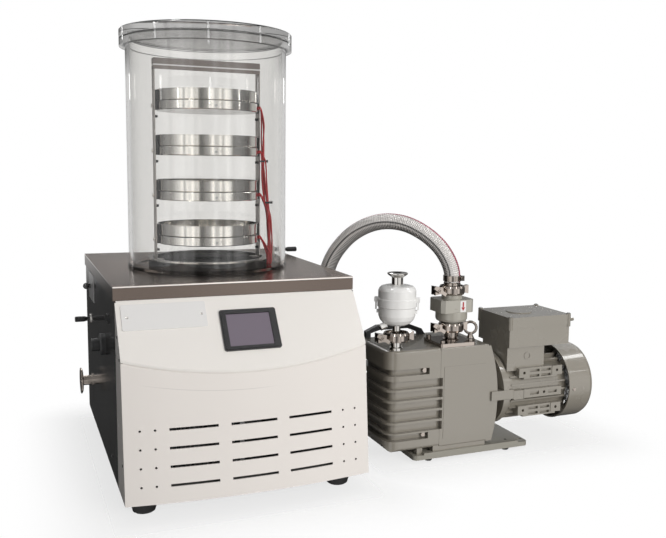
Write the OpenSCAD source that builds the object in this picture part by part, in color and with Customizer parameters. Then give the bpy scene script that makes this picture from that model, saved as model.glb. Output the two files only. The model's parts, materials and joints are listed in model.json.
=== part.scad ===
// Benchtop freeze dryer: a console with a cold trap, a clear drying chamber with four heated
// shelves, and a two-stage vacuum pump that stands beside it on a steel-wire hose.
// Built round the console: x runs across it, y from its front edge to its back, z up from the floor.

/* [Console] */
// Width of the console's top plate
console_w = 432; // [400:1:520]
// Depth of the console's top plate
console_d = 517; // [480:1:620]
// Height of the top plate above the floor
console_h = 380; // [350:1:460]
// Height of the rubber feet under the console
foot_h = 34; // [24:1:40]
// Depth of the top plate's folded rim
rim_h = 24; // [16:1:30]
// Thickness of the casing's sheet metal
sheet_t = 2; // [1.5:0.5:3]
// How far the grille panel's middle stands out before its sides
bulge = 17; // [10:1:30]

/* [Chamber] */
// Outer diameter of the clear tube
tube_d = 310; // [260:1:330]
// Wall of the clear tube
tube_wall = 7; // [5:0.5:9]
// Height of the chamber, seal and lid included
chamber_h = 456; // [440:1:560]
// Distance of the chamber's axis behind the console's front edge
chamber_y = 242; // [225:1:270]
// Diameter of a heated shelf
shelf_d = 198; // [180:1:200]
// Distance from one shelf to the next
shelf_pitch = 86; // [80:1:90]
// Height of a drying tray's wall
tray_h = 22; // [15:1:30]

/* [Cold trap] */
// Inner diameter of the trap's pot
pot_d = 216; // [214:1:218]
// Depth of the pot below the top plate
pot_depth = 170; // [120:5:180]

/* [Pump] */
// Length of the oil case
case_l = 224; // [215:1:235]
// Width of the oil case
case_w = 149; // [140:1:155]
// Height of the oil case's top above the floor
case_top = 230; // [225:1:235]
// Distance of the oil case's end from the console's middle
pump_x = 290; // [285:1:330]
// Diameter of the motor's fan cowl
cowl_d = 162; // [158:1:190]

/* [Hose] */
// Outer diameter of the vacuum hose
hose_d = 33; // [30:1:35]

/* [Hidden] */
$fn = 96;
e = 0.01; // overshoot of a cutting shape past the face that it cuts

// Console, derived
half_w = console_w / 2;
side_x = half_w - sheet_t; // outer face of the side panels
back_y = console_d - sheet_t; // outer face of the back panel
rim_z = console_h - rim_h;
cheek_y = -6; // where the white front ends and the side panels begin
panel_low_y = 91; // how far the grille panel's lower corners stand before the plate
lean = 5.7; // backward lean of the grille panel
slope = 53.5; // slope of the fascia above the level
fascia_y = -4;
seam_gap = 1.6;
cheek_z = rim_z - 91; // level of the seam at the panel's sides
bulge_r = (side_x * side_x + bulge * bulge) / (2 * bulge);

// Chamber, derived
tube_r = tube_d / 2;
seal_h = 6;
lid_t = 14;
ring_t = 15; // the tube's top flange
ring_r = tube_r + 11;
chamber_top = console_h + chamber_h;
shelf_r = shelf_d / 2;
shelf_t = 17;
shelf_low_z = console_h + 47; // underside of the lowest shelf
upright_x = shelf_r + 4;
rack_top = shelf_low_z + 3 * shelf_pitch + 98;
disc_z = console_h + 11;
pot_r = pot_d / 2;
pot_wall = 2;
lip_z = console_h + 19;
pot_floor_z = console_h - pot_depth;

// Pump, derived
pump_y = -5; // front face of the oil case
case_end = pump_x + case_l;
case_low = 29;
axis_y = 67; // axis of pump and motor
axis_z = 121;
motor_r = 70;
cowl_r = cowl_d / 2;
motor_x0 = case_end + 38; // drive end of the motor
motor_x1 = motor_x0 + 163; // where the cowl begins
cowl_x1 = motor_x1 + 60;
joint_x = case_end + 26; // where the pump's flange meets the motor's ring
fit = 0.05; // radial clearance of a turning shaft in its bore
inlet = [pump_x + 158, 36]; // axis of the pump's inlet
exhaust = [pump_x + 25, 14]; // axis of the pump's exhaust
kf25_r = 20; // a DN 25 small flange
kf_neck = 8; // bore of the exhaust's tubes, as a radius
kf_low = case_top + 33.5; // level of the joint under the inlet's trap
kf_high = case_top + 109; // and of the one above it
kf_out = case_top + 26.5; // joint between the exhaust's foot and its filter

// The frame's origin: middle of the object's box, on the floor
box_x0 = -side_x - 32;
box_x1 = cowl_x1;
box_y0 = -panel_low_y - bulge;
box_y1 = back_y + 3;
module frame() {
    translate([-(box_x0 + box_x1) / 2, -(box_y0 + box_y1) / 2, 0]) children();
}

// ---------------------------------------------------------------- helpers
module rounded_plate(x, y, z, r) {
    // A plate on the XY plane with round corners, its corner at the origin
    linear_extrude(z) {
        translate([r, 0]) square([x - 2 * r, y]);
        translate([0, r]) square([x, y - 2 * r]);
        for (px = [r, x - r], py = [r, y - r]) translate([px, py]) circle(r);
    }
}

module along_x(x) {
    translate([x, 0, 0]) rotate([0, 90, 0]) children();
}

module ring(r_out, r_in, h) {
    difference() {
        cylinder(r = r_out, h = h);
        translate([0, 0, -e]) cylinder(r = r_in, h = h + 2 * e);
    }
}

// Points of a round tube along a route, ring by ring
function unit(v) = v / norm(v);
function along(p, i) = unit(p[min(i + 1, len(p) - 1)] - p[max(i - 1, 0)]);
function side(t) = unit(cross(t, abs(t[2]) < 0.9 ? [0, 0, 1] : [0.3, 1, 0]));
function smooth(p, n) = [
    for (i = [0 : len(p) - 2], k = [0 : n - 1])
        let (t = k / n, a = p[max(i - 1, 0)], b = p[i], c = p[i + 1], d = p[min(i + 2, len(p) - 1)])
        0.5 * (2 * b + (c - a) * t + (2 * a - 5 * b + 4 * c - d) * t * t
            + (3 * b - a - 3 * c + d) * t * t * t),
    p[len(p) - 1]
];
// One side vector is carried along the route, so that the tube doesn't twist
function carried(p, i, s) = i >= len(p) ? []
    : let (t = along(p, i), u = unit(s - t * (s * t))) concat([u], carried(p, i + 1, u));
module tube_along(p, r, sides) {
    u = carried(p, 0, side(along(p, 0)));
    points = [
        for (i = [0 : len(p) - 1], k = [0 : sides - 1])
            let (v = cross(along(p, i), u[i]), a = 360 * k / sides)
            p[i] + r * (u[i] * cos(a) + v * sin(a))
    ];
    last = (len(p) - 1) * sides;
    faces = concat(
        [[for (k = [0 : sides - 1]) k]],
        [for (i = [0 : len(p) - 2], k = [0 : sides - 1])
            [i * sides + k, (i + 1) * sides + k,
             (i + 1) * sides + (k + 1) % sides, i * sides + (k + 1) % sides]],
        [[for (k = [sides - 1 : -1 : 0]) last + k]]
    );
    polyhedron(points, faces);
}

// ---------------------------------------------------------------- console
module top_plate() {
    color([0.62, 0.59, 0.55]) frame() difference() {
        translate([-half_w, 0, rim_z]) cube([console_w, console_d, rim_h]);
        translate([-half_w + sheet_t, sheet_t, rim_z - e])
            cube([console_w - 2 * sheet_t, console_d - 2 * sheet_t, rim_h - sheet_t + e]);
        translate([0, chamber_y, rim_z]) cylinder(r = pot_r + pot_wall + 1, h = rim_h + e);
    }
}

module front_block(inset) {
    // The white front as a block: bulged and leaning before, cut by the fascia's plane above
    intersection() {
        translate([-side_x + inset, -140, foot_h - inset])
            cube([2 * (side_x - inset), 140 + cheek_y + inset, 400]);
        translate([0, -panel_low_y - bulge, foot_h]) rotate([-lean, 0, 0])
            translate([0, bulge_r, -300]) cylinder(r = bulge_r - inset, h = 1000, $fn = 720);
        translate([0, fascia_y, rim_z]) rotate([slope, 0, 0])
            translate([-400, -400, -600 - inset]) cube([800, 800, 600]);
    }
}

module under_fascia(depth) {
    // Everything that lies deeper than that under the fascia's plane
    translate([0, fascia_y, rim_z]) rotate([slope, 0, 0])
        translate([-400, -400, -600 - depth]) cube([800, 800, 600]);
}

module on_fascia(s) {
    // A frame on the fascia: x across, y up the slope, z out of it, at s down from its top edge
    translate([0, fascia_y, rim_z]) rotate([slope, 0, 0]) translate([0, -s, 0]) children();
}

module fascia() {
    color([0.93, 0.93, 0.91]) frame() difference() {
        union() {
            difference() {
                front_block(0);
                under_fascia(sheet_t);
            }
            intersection() {
                difference() {
                    front_block(0);
                    translate([-side_x + sheet_t, -150, 0])
                        cube([2 * (side_x - sheet_t), 200, 500]);
                }
                translate([-half_w, -150, cheek_z + seam_gap]) cube([console_w, 150 + cheek_y, 120]);
            }
            // flange that tucks in under the top plate's rim
            translate([-side_x + sheet_t, 0, 0]) rotate([90, 0, 90])
                linear_extrude(2 * (side_x - sheet_t)) polygon([
                [cheek_y - 1, rim_z - 5.9], [cheek_y - 1, rim_z - 4.1], [fascia_y, rim_z],
                [2, rim_z], [2, rim_z - sheet_t], [fascia_y + 0.5, rim_z - sheet_t]
            ]);
        }
        on_fascia(screen_s) translate([screen_x - 43, -32, -10]) cube([86, 64, 20]);
    }
}
screen_x = 7; // middle of the screen across the fascia
screen_s = 67; // and down its slope

slot = [80, 4.5]; // a vent slot's length and height
slot_low = 63; // level of the lowest row of slots
slot_pitch = 30.5; // from row to row
slot_x = 101.5; // middle of an outer slot
dot_x = [164, 188]; // the small round vents beside the slots
module grille_panel() {
    color([0.90, 0.88, 0.86]) frame() difference() {
        front_block(0);
        front_block(sheet_t);
        difference() {
            translate([-500, -400, 0]) cube([1000, 800, 500]);
            under_fascia(sheet_t + seam_gap);
        }
        // its cheeks end below the fascia's own
        translate([-half_w - e, -150, cheek_z]) cube([console_w + 1, 200, 200]);
        for (row = [0 : 3]) translate([0, 0, slot_low + slot_pitch * row]) {
            for (x = [-slot_x, 0, slot_x]) translate([x - slot[0] / 2, -150, -slot[1] / 2])
                cube([slot[0], 100, slot[1]]);
            for (x = dot_x, s = [-1, 1]) translate([s * x, -50, 0]) rotate([90, 0, 0])
                cylinder(d = 4, h = 100, $fn = 32);
        }
    }
}

module side_sheet() {
    // One side panel, its outer face on x = 0 and its inside towards +x
    rotate([90, 0, 90]) linear_extrude(sheet_t) polygon([
        [cheek_y, foot_h], [back_y - sheet_t, foot_h], [back_y - sheet_t, console_h - sheet_t],
        [sheet_t, console_h - sheet_t], [sheet_t, rim_z], [cheek_y, rim_z - sheet_t]
    ]);
}

drain = [434, 248]; // y and z of the drain valve
port = [425, 115]; // y and z of the vacuum port
plug = [154, 251]; // y and z of the round connector
switch = [94, 310]; // y and z of the power switch
knob = [409, 323]; // y and z of the side knob
hose_end = [250, 235, 262]; // the elbow of the hose port

module left_side_panel() {
    color([0.27, 0.25, 0.23]) frame() difference() {
        translate([-side_x, 0, 0]) side_sheet();
        translate([-side_x - e, drain[0], drain[1]]) rotate([0, 90, 0]) cylinder(r = 9.3, h = 5);
        translate([-side_x - e, port[0], port[1]]) rotate([0, 90, 0]) cylinder(r = 10.8, h = 5);
        translate([-side_x - e, plug[0], plug[1]]) rotate([0, 90, 0]) cylinder(r = 12.3, h = 5);
        translate([-side_x - e, knob[0], knob[1]]) rotate([0, 90, 0]) cylinder(r = 3.3, h = 5);
        translate([-side_x - 1, switch[0] - 9.6, switch[1] - 6.6]) cube([5, 19.2, 13.2]);
    }
}

module right_side_panel() {
    color([0.27, 0.25, 0.23]) frame() difference() {
        translate([side_x - sheet_t, 0, 0]) side_sheet();
        translate([side_x - 4, hose_end[1], hose_end[2]]) rotate([0, 90, 0])
            cylinder(r = 12.8, h = 5);
    }
}

module back_panel() {
    color([0.27, 0.25, 0.23]) frame() difference() {
        translate([-side_x, back_y - sheet_t, foot_h])
            cube([2 * side_x, sheet_t, console_h - sheet_t - foot_h]);
        for (i = [0 : 11]) translate([-40 + 18 * i, back_y - 5, 110]) cube([8, 10, 120]);
        translate([-150.3, back_y - 5, 89.7]) cube([27.6, 10, 20.6]);
    }
}

module base_pan() {
    color([0.35, 0.34, 0.33]) frame() difference() {
        translate([-side_x + sheet_t, -84, foot_h])
            cube([2 * (side_x - sheet_t), 84 + back_y - sheet_t, 26]);
        translate([-side_x + 2 * sheet_t, -84 + sheet_t, foot_h + sheet_t])
            cube([2 * (side_x - 2 * sheet_t), 84 + back_y - 3 * sheet_t, 26]);
        for (x = [-176, 176], y = [-33, 470])
            translate([x, y, foot_h - e]) cylinder(r = 4.3, h = 5);
    }
}

module console_feet() {
    color([0.06, 0.06, 0.06]) frame() for (x = [-176, 176], y = [-33, 470])
        translate([x, y, 0]) {
            rotate_extrude() polygon([
                [0, 0], [16, 0], [19, 2], [22, 14], [22, foot_h], [0, foot_h]
            ]);
            cylinder(r = 4, h = foot_h + sheet_t);
        }
}

module screen_bezel() {
    // A raised frame whose faces fall towards the glass
    color([0.10, 0.10, 0.11]) frame() on_fascia(screen_s) translate([screen_x, 0, 0]) difference() {
        union() {
            translate([-50, -38.5, 0]) rounded_plate(100, 77, 3, 4);
            translate([-47.5, -36, 3]) rounded_plate(95, 72, 1.2, 3);
            translate([-42.7, -31.7, -14]) cube([85.4, 63.4, 14]);
        }
        translate([-40, -31, 0.6]) cube([78, 61, 10]);
        translate([-39, -28, -16]) cube([76, 56, 20]);
    }
}

module screen_glass() {
    color([0.42, 0.38, 0.45]) frame() on_fascia(screen_s)
        translate([screen_x - 39.8, -30.8, 0.6]) cube([77.6, 60.6, 1.6]);
}

module badge_plate() {
    color([0.92, 0.92, 0.93]) frame() on_fascia(32) difference() {
        translate([-206, -24, 0]) rounded_plate(141, 48, 1.2, 3);
        for (x = [-197, -73]) translate([x, 0, -1]) cylinder(r = 1.7, h = 4, $fn = 32);
    }
}

module badge_rivets() {
    color([0.75, 0.75, 0.76]) frame() for (x = [-197, -73]) on_fascia(32) translate([x, 0, 1.2])
        intersection() {
            translate([0, 0, -1.2]) sphere(r = 2.8, $fn = 32);
            cylinder(r = 3, h = 3, $fn = 32);
        }
}

module power_switch_body() {
    color([0.05, 0.05, 0.05]) frame() translate([-side_x, switch[0], switch[1]]) difference() {
        union() {
            translate([-2, -10.5, -7.5]) cube([2, 21, 15]);
            translate([0, -9.4, -6.4]) cube([14, 18.8, 12.8]);
        }
        translate([-3, -8.6, -5.2]) cube([9, 17.2, 10.4]);
        translate([0, 0, -6.5]) cylinder(r = 1.2 + fit, h = 13, $fn = 32);
    }
}

module power_switch_rocker() {
    // It tips about the upright pin, and is shown off
    color([0.04, 0.04, 0.04]) frame() translate([-side_x, switch[0], switch[1]]) {
        rotate([0, 0, 8]) translate([0, 0, -5]) linear_extrude(10) polygon([
            [-3.4, -7.6], [-2.5, 0], [-3.4, 7.6], [1.5, 7.6], [4, 3], [4, -3], [1.5, -7.6]
        ]);
        translate([0, 0, -6.3]) cylinder(r = 1.2, h = 12.6, $fn = 32);
    }
}

module round_connector() {
    color([0.05, 0.05, 0.05]) frame() translate([-side_x, plug[0], plug[1]]) rotate([0, -90, 0]) {
        rotate_extrude() polygon([
            [0, -14], [12, -14], [12, 0], [20, 0], [20, 8], [18.5, 10], [12, 10],
            [12, 23.5], [10.5, 25], [0, 25]
        ]);
    }
}

module vacuum_port() {
    // A small-flange port: its tube passes through the panel
    color([0.70, 0.69, 0.67]) frame() translate([-side_x, port[0], port[1]]) rotate([0, -90, 0])
        rotate_extrude() polygon([
            [8, -30], [10.5, -30], [10.5, 0], [14, 0], [14, 1.5], [10.5, 1.5], [10.5, 20],
            [23, 20], [27.5, 22], [27.5, 24.5], [13, 24.5], [13, 23], [8, 23]
        ]);
}

module valve_body_profile() {
    // Round plate on the panel, and the valve's barrel behind it
    difference() {
        rotate_extrude() polygon([[0, -26], [9, -26], [9, 0], [10.7, 0], [10.7, 2], [0, 2]]);
        translate([0, 0, -16]) cylinder(r = 4 + fit, h = 30, $fn = 64);
    }
}

module drain_valve_body() {
    color([0.66, 0.66, 0.65]) frame() translate([-side_x, drain[0], drain[1]])
        rotate([0, -90, 0]) valve_body_profile();
}

module drain_valve_handle() {
    color([0.05, 0.05, 0.05]) frame() translate([-side_x, drain[0], drain[1]]) rotate([0, -90, 0])
        translate([0, 0, -15.5]) {
            cylinder(r = 4, h = 24, $fn = 64);
            translate([0, 0, 21.8]) rotate_extrude() polygon([
                [0, 0], [4, 0], [5.9, 7], [5.9, 24], [5, 25.7], [0, 25.7]
            ]);
        }
}

vent = [208, 412, console_h]; // where the vent valve's block stands
module vent_valve_body() {
    color([0.66, 0.66, 0.65]) frame() translate(vent) difference() {
        union() {
            translate([-9, -9, 0]) cube([17, 18, 16]);
            translate([-3, 0, 15.9]) cylinder(r = 5, h = 3.1);
        }
        translate([-4, 0, 8.5]) rotate([0, 90, 0]) cylinder(r = 3 + fit, h = 20, $fn = 64);
    }
}

module vent_valve_handle() {
    color([0.05, 0.05, 0.05]) frame() translate(vent) translate([-3.5, 0, 8.5]) rotate([0, 90, 0]) {
        cylinder(r = 3, h = 16, $fn = 64);
        translate([0, 0, 14]) rotate_extrude() polygon([
            [0, 0], [3, 0], [5.3, 5], [5.5, 25], [4.6, 26.5], [0, 26.5]
        ]);
    }
}

module side_knob() {
    color([0.05, 0.05, 0.05]) frame() translate([-side_x, knob[0], knob[1]]) rotate([0, -90, 0]) {
        translate([0, 0, -8]) cylinder(r = 3, h = 12, $fn = 32);
        translate([0, 0, 9]) sphere(r = 6.8, $fn = 48);
        cylinder(r = 5, h = 4, $fn = 48);
    }
}

module power_inlet() {
    color([0.05, 0.05, 0.05]) frame() translate([-136.5, back_y, 100]) difference() {
        union() {
            translate([-25, 0, -14]) cube([50, 3, 28]);
            translate([-13.5, -22, -10]) cube([27, 22, 20]);
        }
        translate([-12, -16, -8.5]) cube([24, 30, 17]);
        for (x = [-20, 20]) translate([x, -1, 0]) rotate([-90, 0, 0]) cylinder(r = 1.7, h = 5);
    }
}

// ---------------------------------------------------------------- chamber and cold trap
module chamber_seals() {
    // Two rubber rings of one section: under the tube, and between its flange and the lid
    color([0.08, 0.08, 0.08]) frame() translate([0, chamber_y, 0]) {
        translate([0, 0, console_h]) rotate_extrude() polygon([
            [tube_r - tube_wall - 4, 0], [tube_r + 1.5, 0], [tube_r + 1.5, seal_h],
            [tube_r - tube_wall - 2, seal_h]
        ]);
        translate([0, 0, chamber_top - lid_t - 3]) ring(tube_r + 3, tube_r - tube_wall, 3);
    }
}

module chamber_tube() {
    color([0.80, 0.83, 0.83, 0.35]) frame() translate([0, chamber_y, 0]) rotate_extrude($fn = 128)
        polygon([
            [tube_r - tube_wall, console_h + seal_h], [tube_r, console_h + seal_h],
            [tube_r, chamber_top - lid_t - 3 - ring_t], [ring_r, chamber_top - lid_t - 3 - ring_t],
            [ring_r, chamber_top - lid_t - 3], [tube_r - tube_wall, chamber_top - lid_t - 3]
        ]);
}

module chamber_lid() {
    color([0.80, 0.83, 0.83, 0.35]) frame() translate([0, chamber_y, chamber_top - lid_t])
        rotate_extrude($fn = 128) polygon([
            [0, 0], [ring_r, 0], [ring_r, lid_t - 2], [ring_r - 2, lid_t], [0, lid_t]
        ]);
}

module pot_collar() {
    color([0.06, 0.06, 0.06]) frame() translate([0, chamber_y, console_h])
        ring(pot_r + 9, pot_r + pot_wall + 0.2, lip_z - 3 - console_h);
}

module condenser_pot() {
    // Stainless pot with a rolled lip, a ledge that carries the baffle and a drain stub
    color([0.72, 0.72, 0.71]) frame() translate([0, chamber_y, 0]) {
        rotate_extrude() polygon([
            [6, pot_floor_z - 30], [8, pot_floor_z - 30], [8, pot_floor_z],
            [pot_r + pot_wall, pot_floor_z], [pot_r + pot_wall, lip_z - 3], [pot_r + 10, lip_z - 3],
            [pot_r + 10, lip_z], [pot_r, lip_z], [pot_r, disc_z], [pot_r - 5, disc_z],
            [pot_r - 5, disc_z - 3], [pot_r, disc_z - 6], [pot_r, pot_floor_z + pot_wall],
            [6, pot_floor_z + pot_wall]
        ]);
    }
}

coil_turns = 6;
coil_r = pot_r + pot_wall + 6;
module evaporator_coil() {
    // Copper tube wound round the pot
    steps = 28;
    route = [
        for (i = [0 : coil_turns * steps])
            let (a = 360 * i / steps)
            [coil_r * cos(a), coil_r * sin(a), pot_floor_z + 14 + 20 * i / steps]
    ];
    color([0.72, 0.45, 0.30]) frame() translate([0, chamber_y, 0]) tube_along(route, 5, 6);
}

module baffle_disc() {
    color([0.05, 0.05, 0.05]) frame() translate([0, chamber_y, disc_z]) difference() {
        cylinder(r = pot_r - 0.5, h = 3);
        translate([0, 0, -1]) cylinder(r = 28, h = 5);
    }
}

module rack_frame() {
    // Bent strip: two uprights and a top bar with a downturned front
    strip = 25;
    color([0.72, 0.71, 0.69]) frame() translate([0, chamber_y, 0]) difference() {
        union() {
            for (s = [-1, 1]) translate([s * (upright_x + 1) - 1, -strip / 2, disc_z + 3])
                cube([2, strip, rack_top - disc_z - 3]);
            translate([-upright_x - 2, -strip / 2, rack_top - 2])
                cube([2 * upright_x + 4, strip, 2]);
            translate([-upright_x, -strip / 2, rack_top - 21]) cube([2 * upright_x, 2, 20]);
            for (s = [-1, 1]) translate([s * (upright_x - 7) - 7, -strip / 2, disc_z + 3])
                cube([14, strip, 2]);
        }
        for (i = [0 : 3]) translate([-150, 0, shelf_low_z + shelf_pitch * i + shelf_t / 2])
            rotate([0, 90, 0]) cylinder(r = 2.2, h = 300, $fn = 32);
    }
}

module heated_shelves() {
    // Four shallow pans turned face up, each with a stud to both uprights
    color([0.70, 0.69, 0.66]) frame()
        for (i = [0 : 3]) translate([0, chamber_y, shelf_low_z + shelf_pitch * i]) {
            rotate_extrude() polygon([
                [0, 0], [shelf_r - 1.5, 0], [shelf_r, 1.5], [shelf_r, shelf_t - 1],
                [shelf_r - 1, shelf_t], [0, shelf_t]
            ]);
            for (s = [0, 180]) rotate([0, 0, s]) translate([shelf_r - 1, 0, shelf_t / 2])
                rotate([0, 90, 0]) {
                    cylinder(r = 6, h = 5, $fn = 32);
                    cylinder(r = 2, h = 11, $fn = 32);
                    translate([0, 0, 7.3]) cylinder(r = 3.6, h = 3.7, $fn = 32);
                }
            translate([0, -shelf_r + 0.5, shelf_t / 2]) rotate([90, 0, 0])
                cylinder(r = 2.4, h = 2, $fn = 32);
        }
}

module trays() {
    // Four loose spun trays
    color([0.80, 0.79, 0.76]) frame() for (i = [0 : 3])
        translate([0, chamber_y, shelf_low_z + shelf_pitch * i + shelf_t]) rotate_extrude() polygon([
            [0, 0], [shelf_r - 3, 0], [shelf_r - 1, 2], [shelf_r - 1, tray_h - 1.5],
            [shelf_r, tray_h - 1], [shelf_r, tray_h], [shelf_r - 2, tray_h], [shelf_r - 2, 3],
            [shelf_r - 4, 1.2], [0, 1.2]
        ]);
}

// Route of the shelf wires, from the top shelf's side down into the trap's mouth
wire_in = upright_x + 2; // they run between the upright
wire_gap = tube_r - tube_wall - wire_in; // and the tube
wire_top = shelf_low_z + 3 * shelf_pitch + shelf_t / 2;
function wire(part, y, z) = [wire_in + part * wire_gap, y, z];
wire_route = [
    (shelf_r + 0.3) * [cos(15), -sin(15), 0] + [0, 0, wire_top],
    [wire_in - 3, -27.3, wire_top - 0.5], wire(0.07, -28, wire_top - 8),
    wire(0.14, -26, wire_top - 29), wire(0.14, -22, console_h + 250),
    wire(0.16, -20, console_h + 210), wire(0.21, -20, console_h + 175),
    wire(0.33, -20, console_h + 140), wire(0.44, -20, console_h + 108),
    wire(0.51, -20, console_h + 75), wire(0.53, -20, console_h + 45),
    wire(0.49, -20, console_h + 20), wire(0.49, -20, console_h + 0.2)
];
module wire_harness() {
    color([0.65, 0.16, 0.18]) frame() translate([0, chamber_y, 0])
        tube_along(smooth(wire_route, 3), 3.4, 8);
}

// ---------------------------------------------------------------- refrigeration
module compressor() {
    color([0.06, 0.06, 0.06]) frame() translate([112, 14, foot_h + sheet_t]) {
        translate([-80, -45, 0]) rounded_plate(160, 90, 4, 8);
        translate([0, 0, 4]) rotate_extrude() polygon([
            [0, 0], [52, 0], [66, 12], [68, 24], [68, 92], [72, 92], [72, 98], [68, 98],
            [66, 128], [54, 150], [28, 164], [0, 168]
        ]);
        translate([60, 0, 110]) rotate([0, 60, 0]) cylinder(r = 5, h = 26);
    }
}

rad = [-196, -52, foot_h + sheet_t]; // corner of the finned condenser
module condenser_coil() {
    color([0.55, 0.50, 0.46]) frame() translate(rad) {
        difference() {
            cube([190, 34, 176]);
            translate([8, -1, 8]) cube([174, 36, 160]);
        }
        for (i = [0 : 21]) translate([12 + 7.6 * i, 2, 7.9]) cube([0.8, 30, 160.2]);
        for (k = [0 : 4]) translate([7.9, 17, 30 + 29 * k]) rotate([0, 90, 0])
            cylinder(r = 4.5, h = 174.2, $fn = 32);
    }
}

fan_c = [-101, -18, foot_h + sheet_t + 88]; // middle of the fan, on the coil's back face
module fan_shroud() {
    color([0.10, 0.10, 0.10]) frame() translate(fan_c) rotate([-90, 0, 0]) {
        difference() {
            translate([-88, -88, 0]) cube([176, 176, 28]);
            translate([0, 0, -1]) cylinder(r = 80, h = 40);
        }
        // motor on four spokes, with the fan's fixed shaft
        translate([0, 0, 20]) cylinder(r = 26, h = 22);
        for (a = [45 : 90 : 315]) rotate([0, 0, a]) translate([20, -5, 22]) cube([64, 10, 5]);
        translate([0, 0, 3]) cylinder(r = 4, h = 18, $fn = 64);
    }
}

module cooling_fan() {
    color([0.16, 0.16, 0.17]) frame() translate(fan_c) rotate([-90, 0, 0]) difference() {
        union() {
            translate([0, 0, 2]) cylinder(r = 20, h = 17);
            for (a = [0 : 60 : 300]) rotate([0, 0, a]) translate([17, 0, 10]) rotate([32, 0, 0])
                translate([0, -11, -1]) cube([56, 22, 2]);
        }
        translate([0, 0, 2.5]) cylinder(r = 4 + fit, h = 30, $fn = 64);
    }
}

// ---------------------------------------------------------------- hose
module hose_port() {
    // Elbow of tube from the console's side, turned up to the hose
    color([0.70, 0.69, 0.67]) frame() {
        translate(hose_end) translate([-20, 0, 20]) rotate([90, 0, 0]) rotate([0, 0, -90])
            rotate_extrude(angle = 90) translate([20, 0]) difference() {
                circle(12.5);
                circle(10.5);
            }
        translate([side_x - 20, hose_end[1], hose_end[2]]) rotate([0, 90, 0])
            ring(12.5, 10.5, hose_end[0] - 20 - side_x + 20);
        translate([side_x, hose_end[1], hose_end[2]]) rotate([0, 90, 0]) ring(20, 12.4, 3);
        translate([hose_end[0], hose_end[1], hose_end[2] + 20]) ring(12.5, 10.5, 34);
        for (z = [24, 32, 40]) translate([hose_end[0], hose_end[1], hose_end[2] + z])
            ring(13.2, 12.4, 2);
    }
}

// The hose from the elbow, over its arch, to the fitting on the pump's inlet
hose_low = 22; // the hose begins that far above the elbow's inlet
hose_seat = 15; // and ends that far above the trap's upper joint
hose_route = [
    hose_end + [0, 0, hose_low], hose_end + [0, 0, hose_low + 36], [252, 232, 350],
    [259, 224, 382], [272, 210, 412], [292, 189, 441], [318, 162, 462], [346, 134, 471],
    [376, 105, 467], [404, 78, 450], [426, 56, 426], [440, 43, 400],
    [inlet[0] - 1, inlet[1] + 1, kf_high + hose_seat + 22], [inlet[0], inlet[1], kf_high + hose_seat]
];
module vacuum_hose() {
    color([0.62, 0.60, 0.58]) frame() tube_along(smooth(hose_route, 2), hose_d / 2, 12);
}

module hose_adapter() {
    // Small flange with the barbed tail that holds the hose
    color([0.74, 0.73, 0.71]) frame() translate([inlet[0], inlet[1], kf_high]) rotate_extrude()
        polygon([
            [11, 0], [kf25_r, 0], [kf25_r, 2.5], [14, 5], [14, 6], [17, 8], [17, hose_seat - 1],
            [13, hose_seat - 1], [13, 45], [11, 45]
        ]);
}

module hose_clips() {
    // Two worm-drive clips, one at each end of the hose
    color([0.76, 0.75, 0.73]) frame()
        for (p = [[inlet[0], inlet[1], kf_high + hose_seat + 3, 60], [hose_end[0], hose_end[1],
            hose_end[2] + hose_low + 12, 0]]) translate([p[0], p[1], p[2]]) rotate([0, 0, p[3]]) {
            ring(hose_d / 2 + 1.8, hose_d / 2 + 0.8, 11);
            translate([-7, -hose_d / 2 - 8, 1]) cube([14, 7.2, 9]);
            translate([-12, -hose_d / 2 - 4.5, 5.5]) rotate([0, 90, 0])
                cylinder(r = 3.2, h = 24, $fn = 32);
        }
}

// ---------------------------------------------------------------- pump
base_x = [pump_x + 61, pump_x + 325];
base_tab = 20; // the low ends that stand out before and behind the cover
foot_at = [base_x[0] + 38, base_x[1] - 45]; // where the rubber feet stand along the base
module pump_base() {
    // A folded cover on a low plate whose round-cornered ends stand out as tabs
    color([0.60, 0.59, 0.55]) frame() difference() {
        union() {
            translate([base_x[0] - 2, pump_y - 3, 8])
                rounded_plate(base_x[1] - base_x[0] + 2, case_w + 6, 9, 9);
            translate([base_x[0] + base_tab, pump_y - 3, 8])
                cube([base_x[1] - base_x[0] - 2 * base_tab - 4, case_w + 6, 13]);
        }
        translate([base_x[0] + base_tab + 3, pump_y, 8 - e])
            cube([base_x[1] - base_x[0] - 2 * base_tab - 10, case_w, 10 + e]);
        for (x = foot_at, y = [9, 128]) translate([x, y, 10]) cylinder(r = 3.3, h = 20, $fn = 32);
        // slots that take bolts to the bench
        for (x = [base_x[0] + 5, base_x[1] - 14], y = [pump_y + 14, pump_y + case_w - 22])
            translate([x, y, 0]) {
                translate([0, 3.5, 0]) cylinder(r = 3.5, h = 30, $fn = 32);
                translate([7, 3.5, 0]) cylinder(r = 3.5, h = 30, $fn = 32);
                cube([7, 7, 30]);
            }
    }
}

module pump_feet() {
    color([0.06, 0.06, 0.06]) frame() for (x = foot_at, y = [9, 128])
        translate([x, y, 0]) {
            rotate_extrude() polygon([[0, 0], [6.5, 0], [8, 2], [8, 18], [0, 18]]);
            cylinder(r = 3, h = 21, $fn = 32);
        }
}

module case_outline(inset) {
    // The oil case seen from above, rounded at its free end
    r_free = 26;
    r = max(r_free - inset, 4);
    x0 = pump_x + inset;
    y0 = pump_y + inset;
    y1 = pump_y + case_w - inset;
    translate([x0 + r, y0]) square([case_end - x0 - r, y1 - y0]);
    translate([x0, y0 + r]) square([r + 1, y1 - y0 - 2 * r]);
    for (y = [y0 + r, y1 - r]) translate([x0 + r, y]) circle(r);
}

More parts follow.
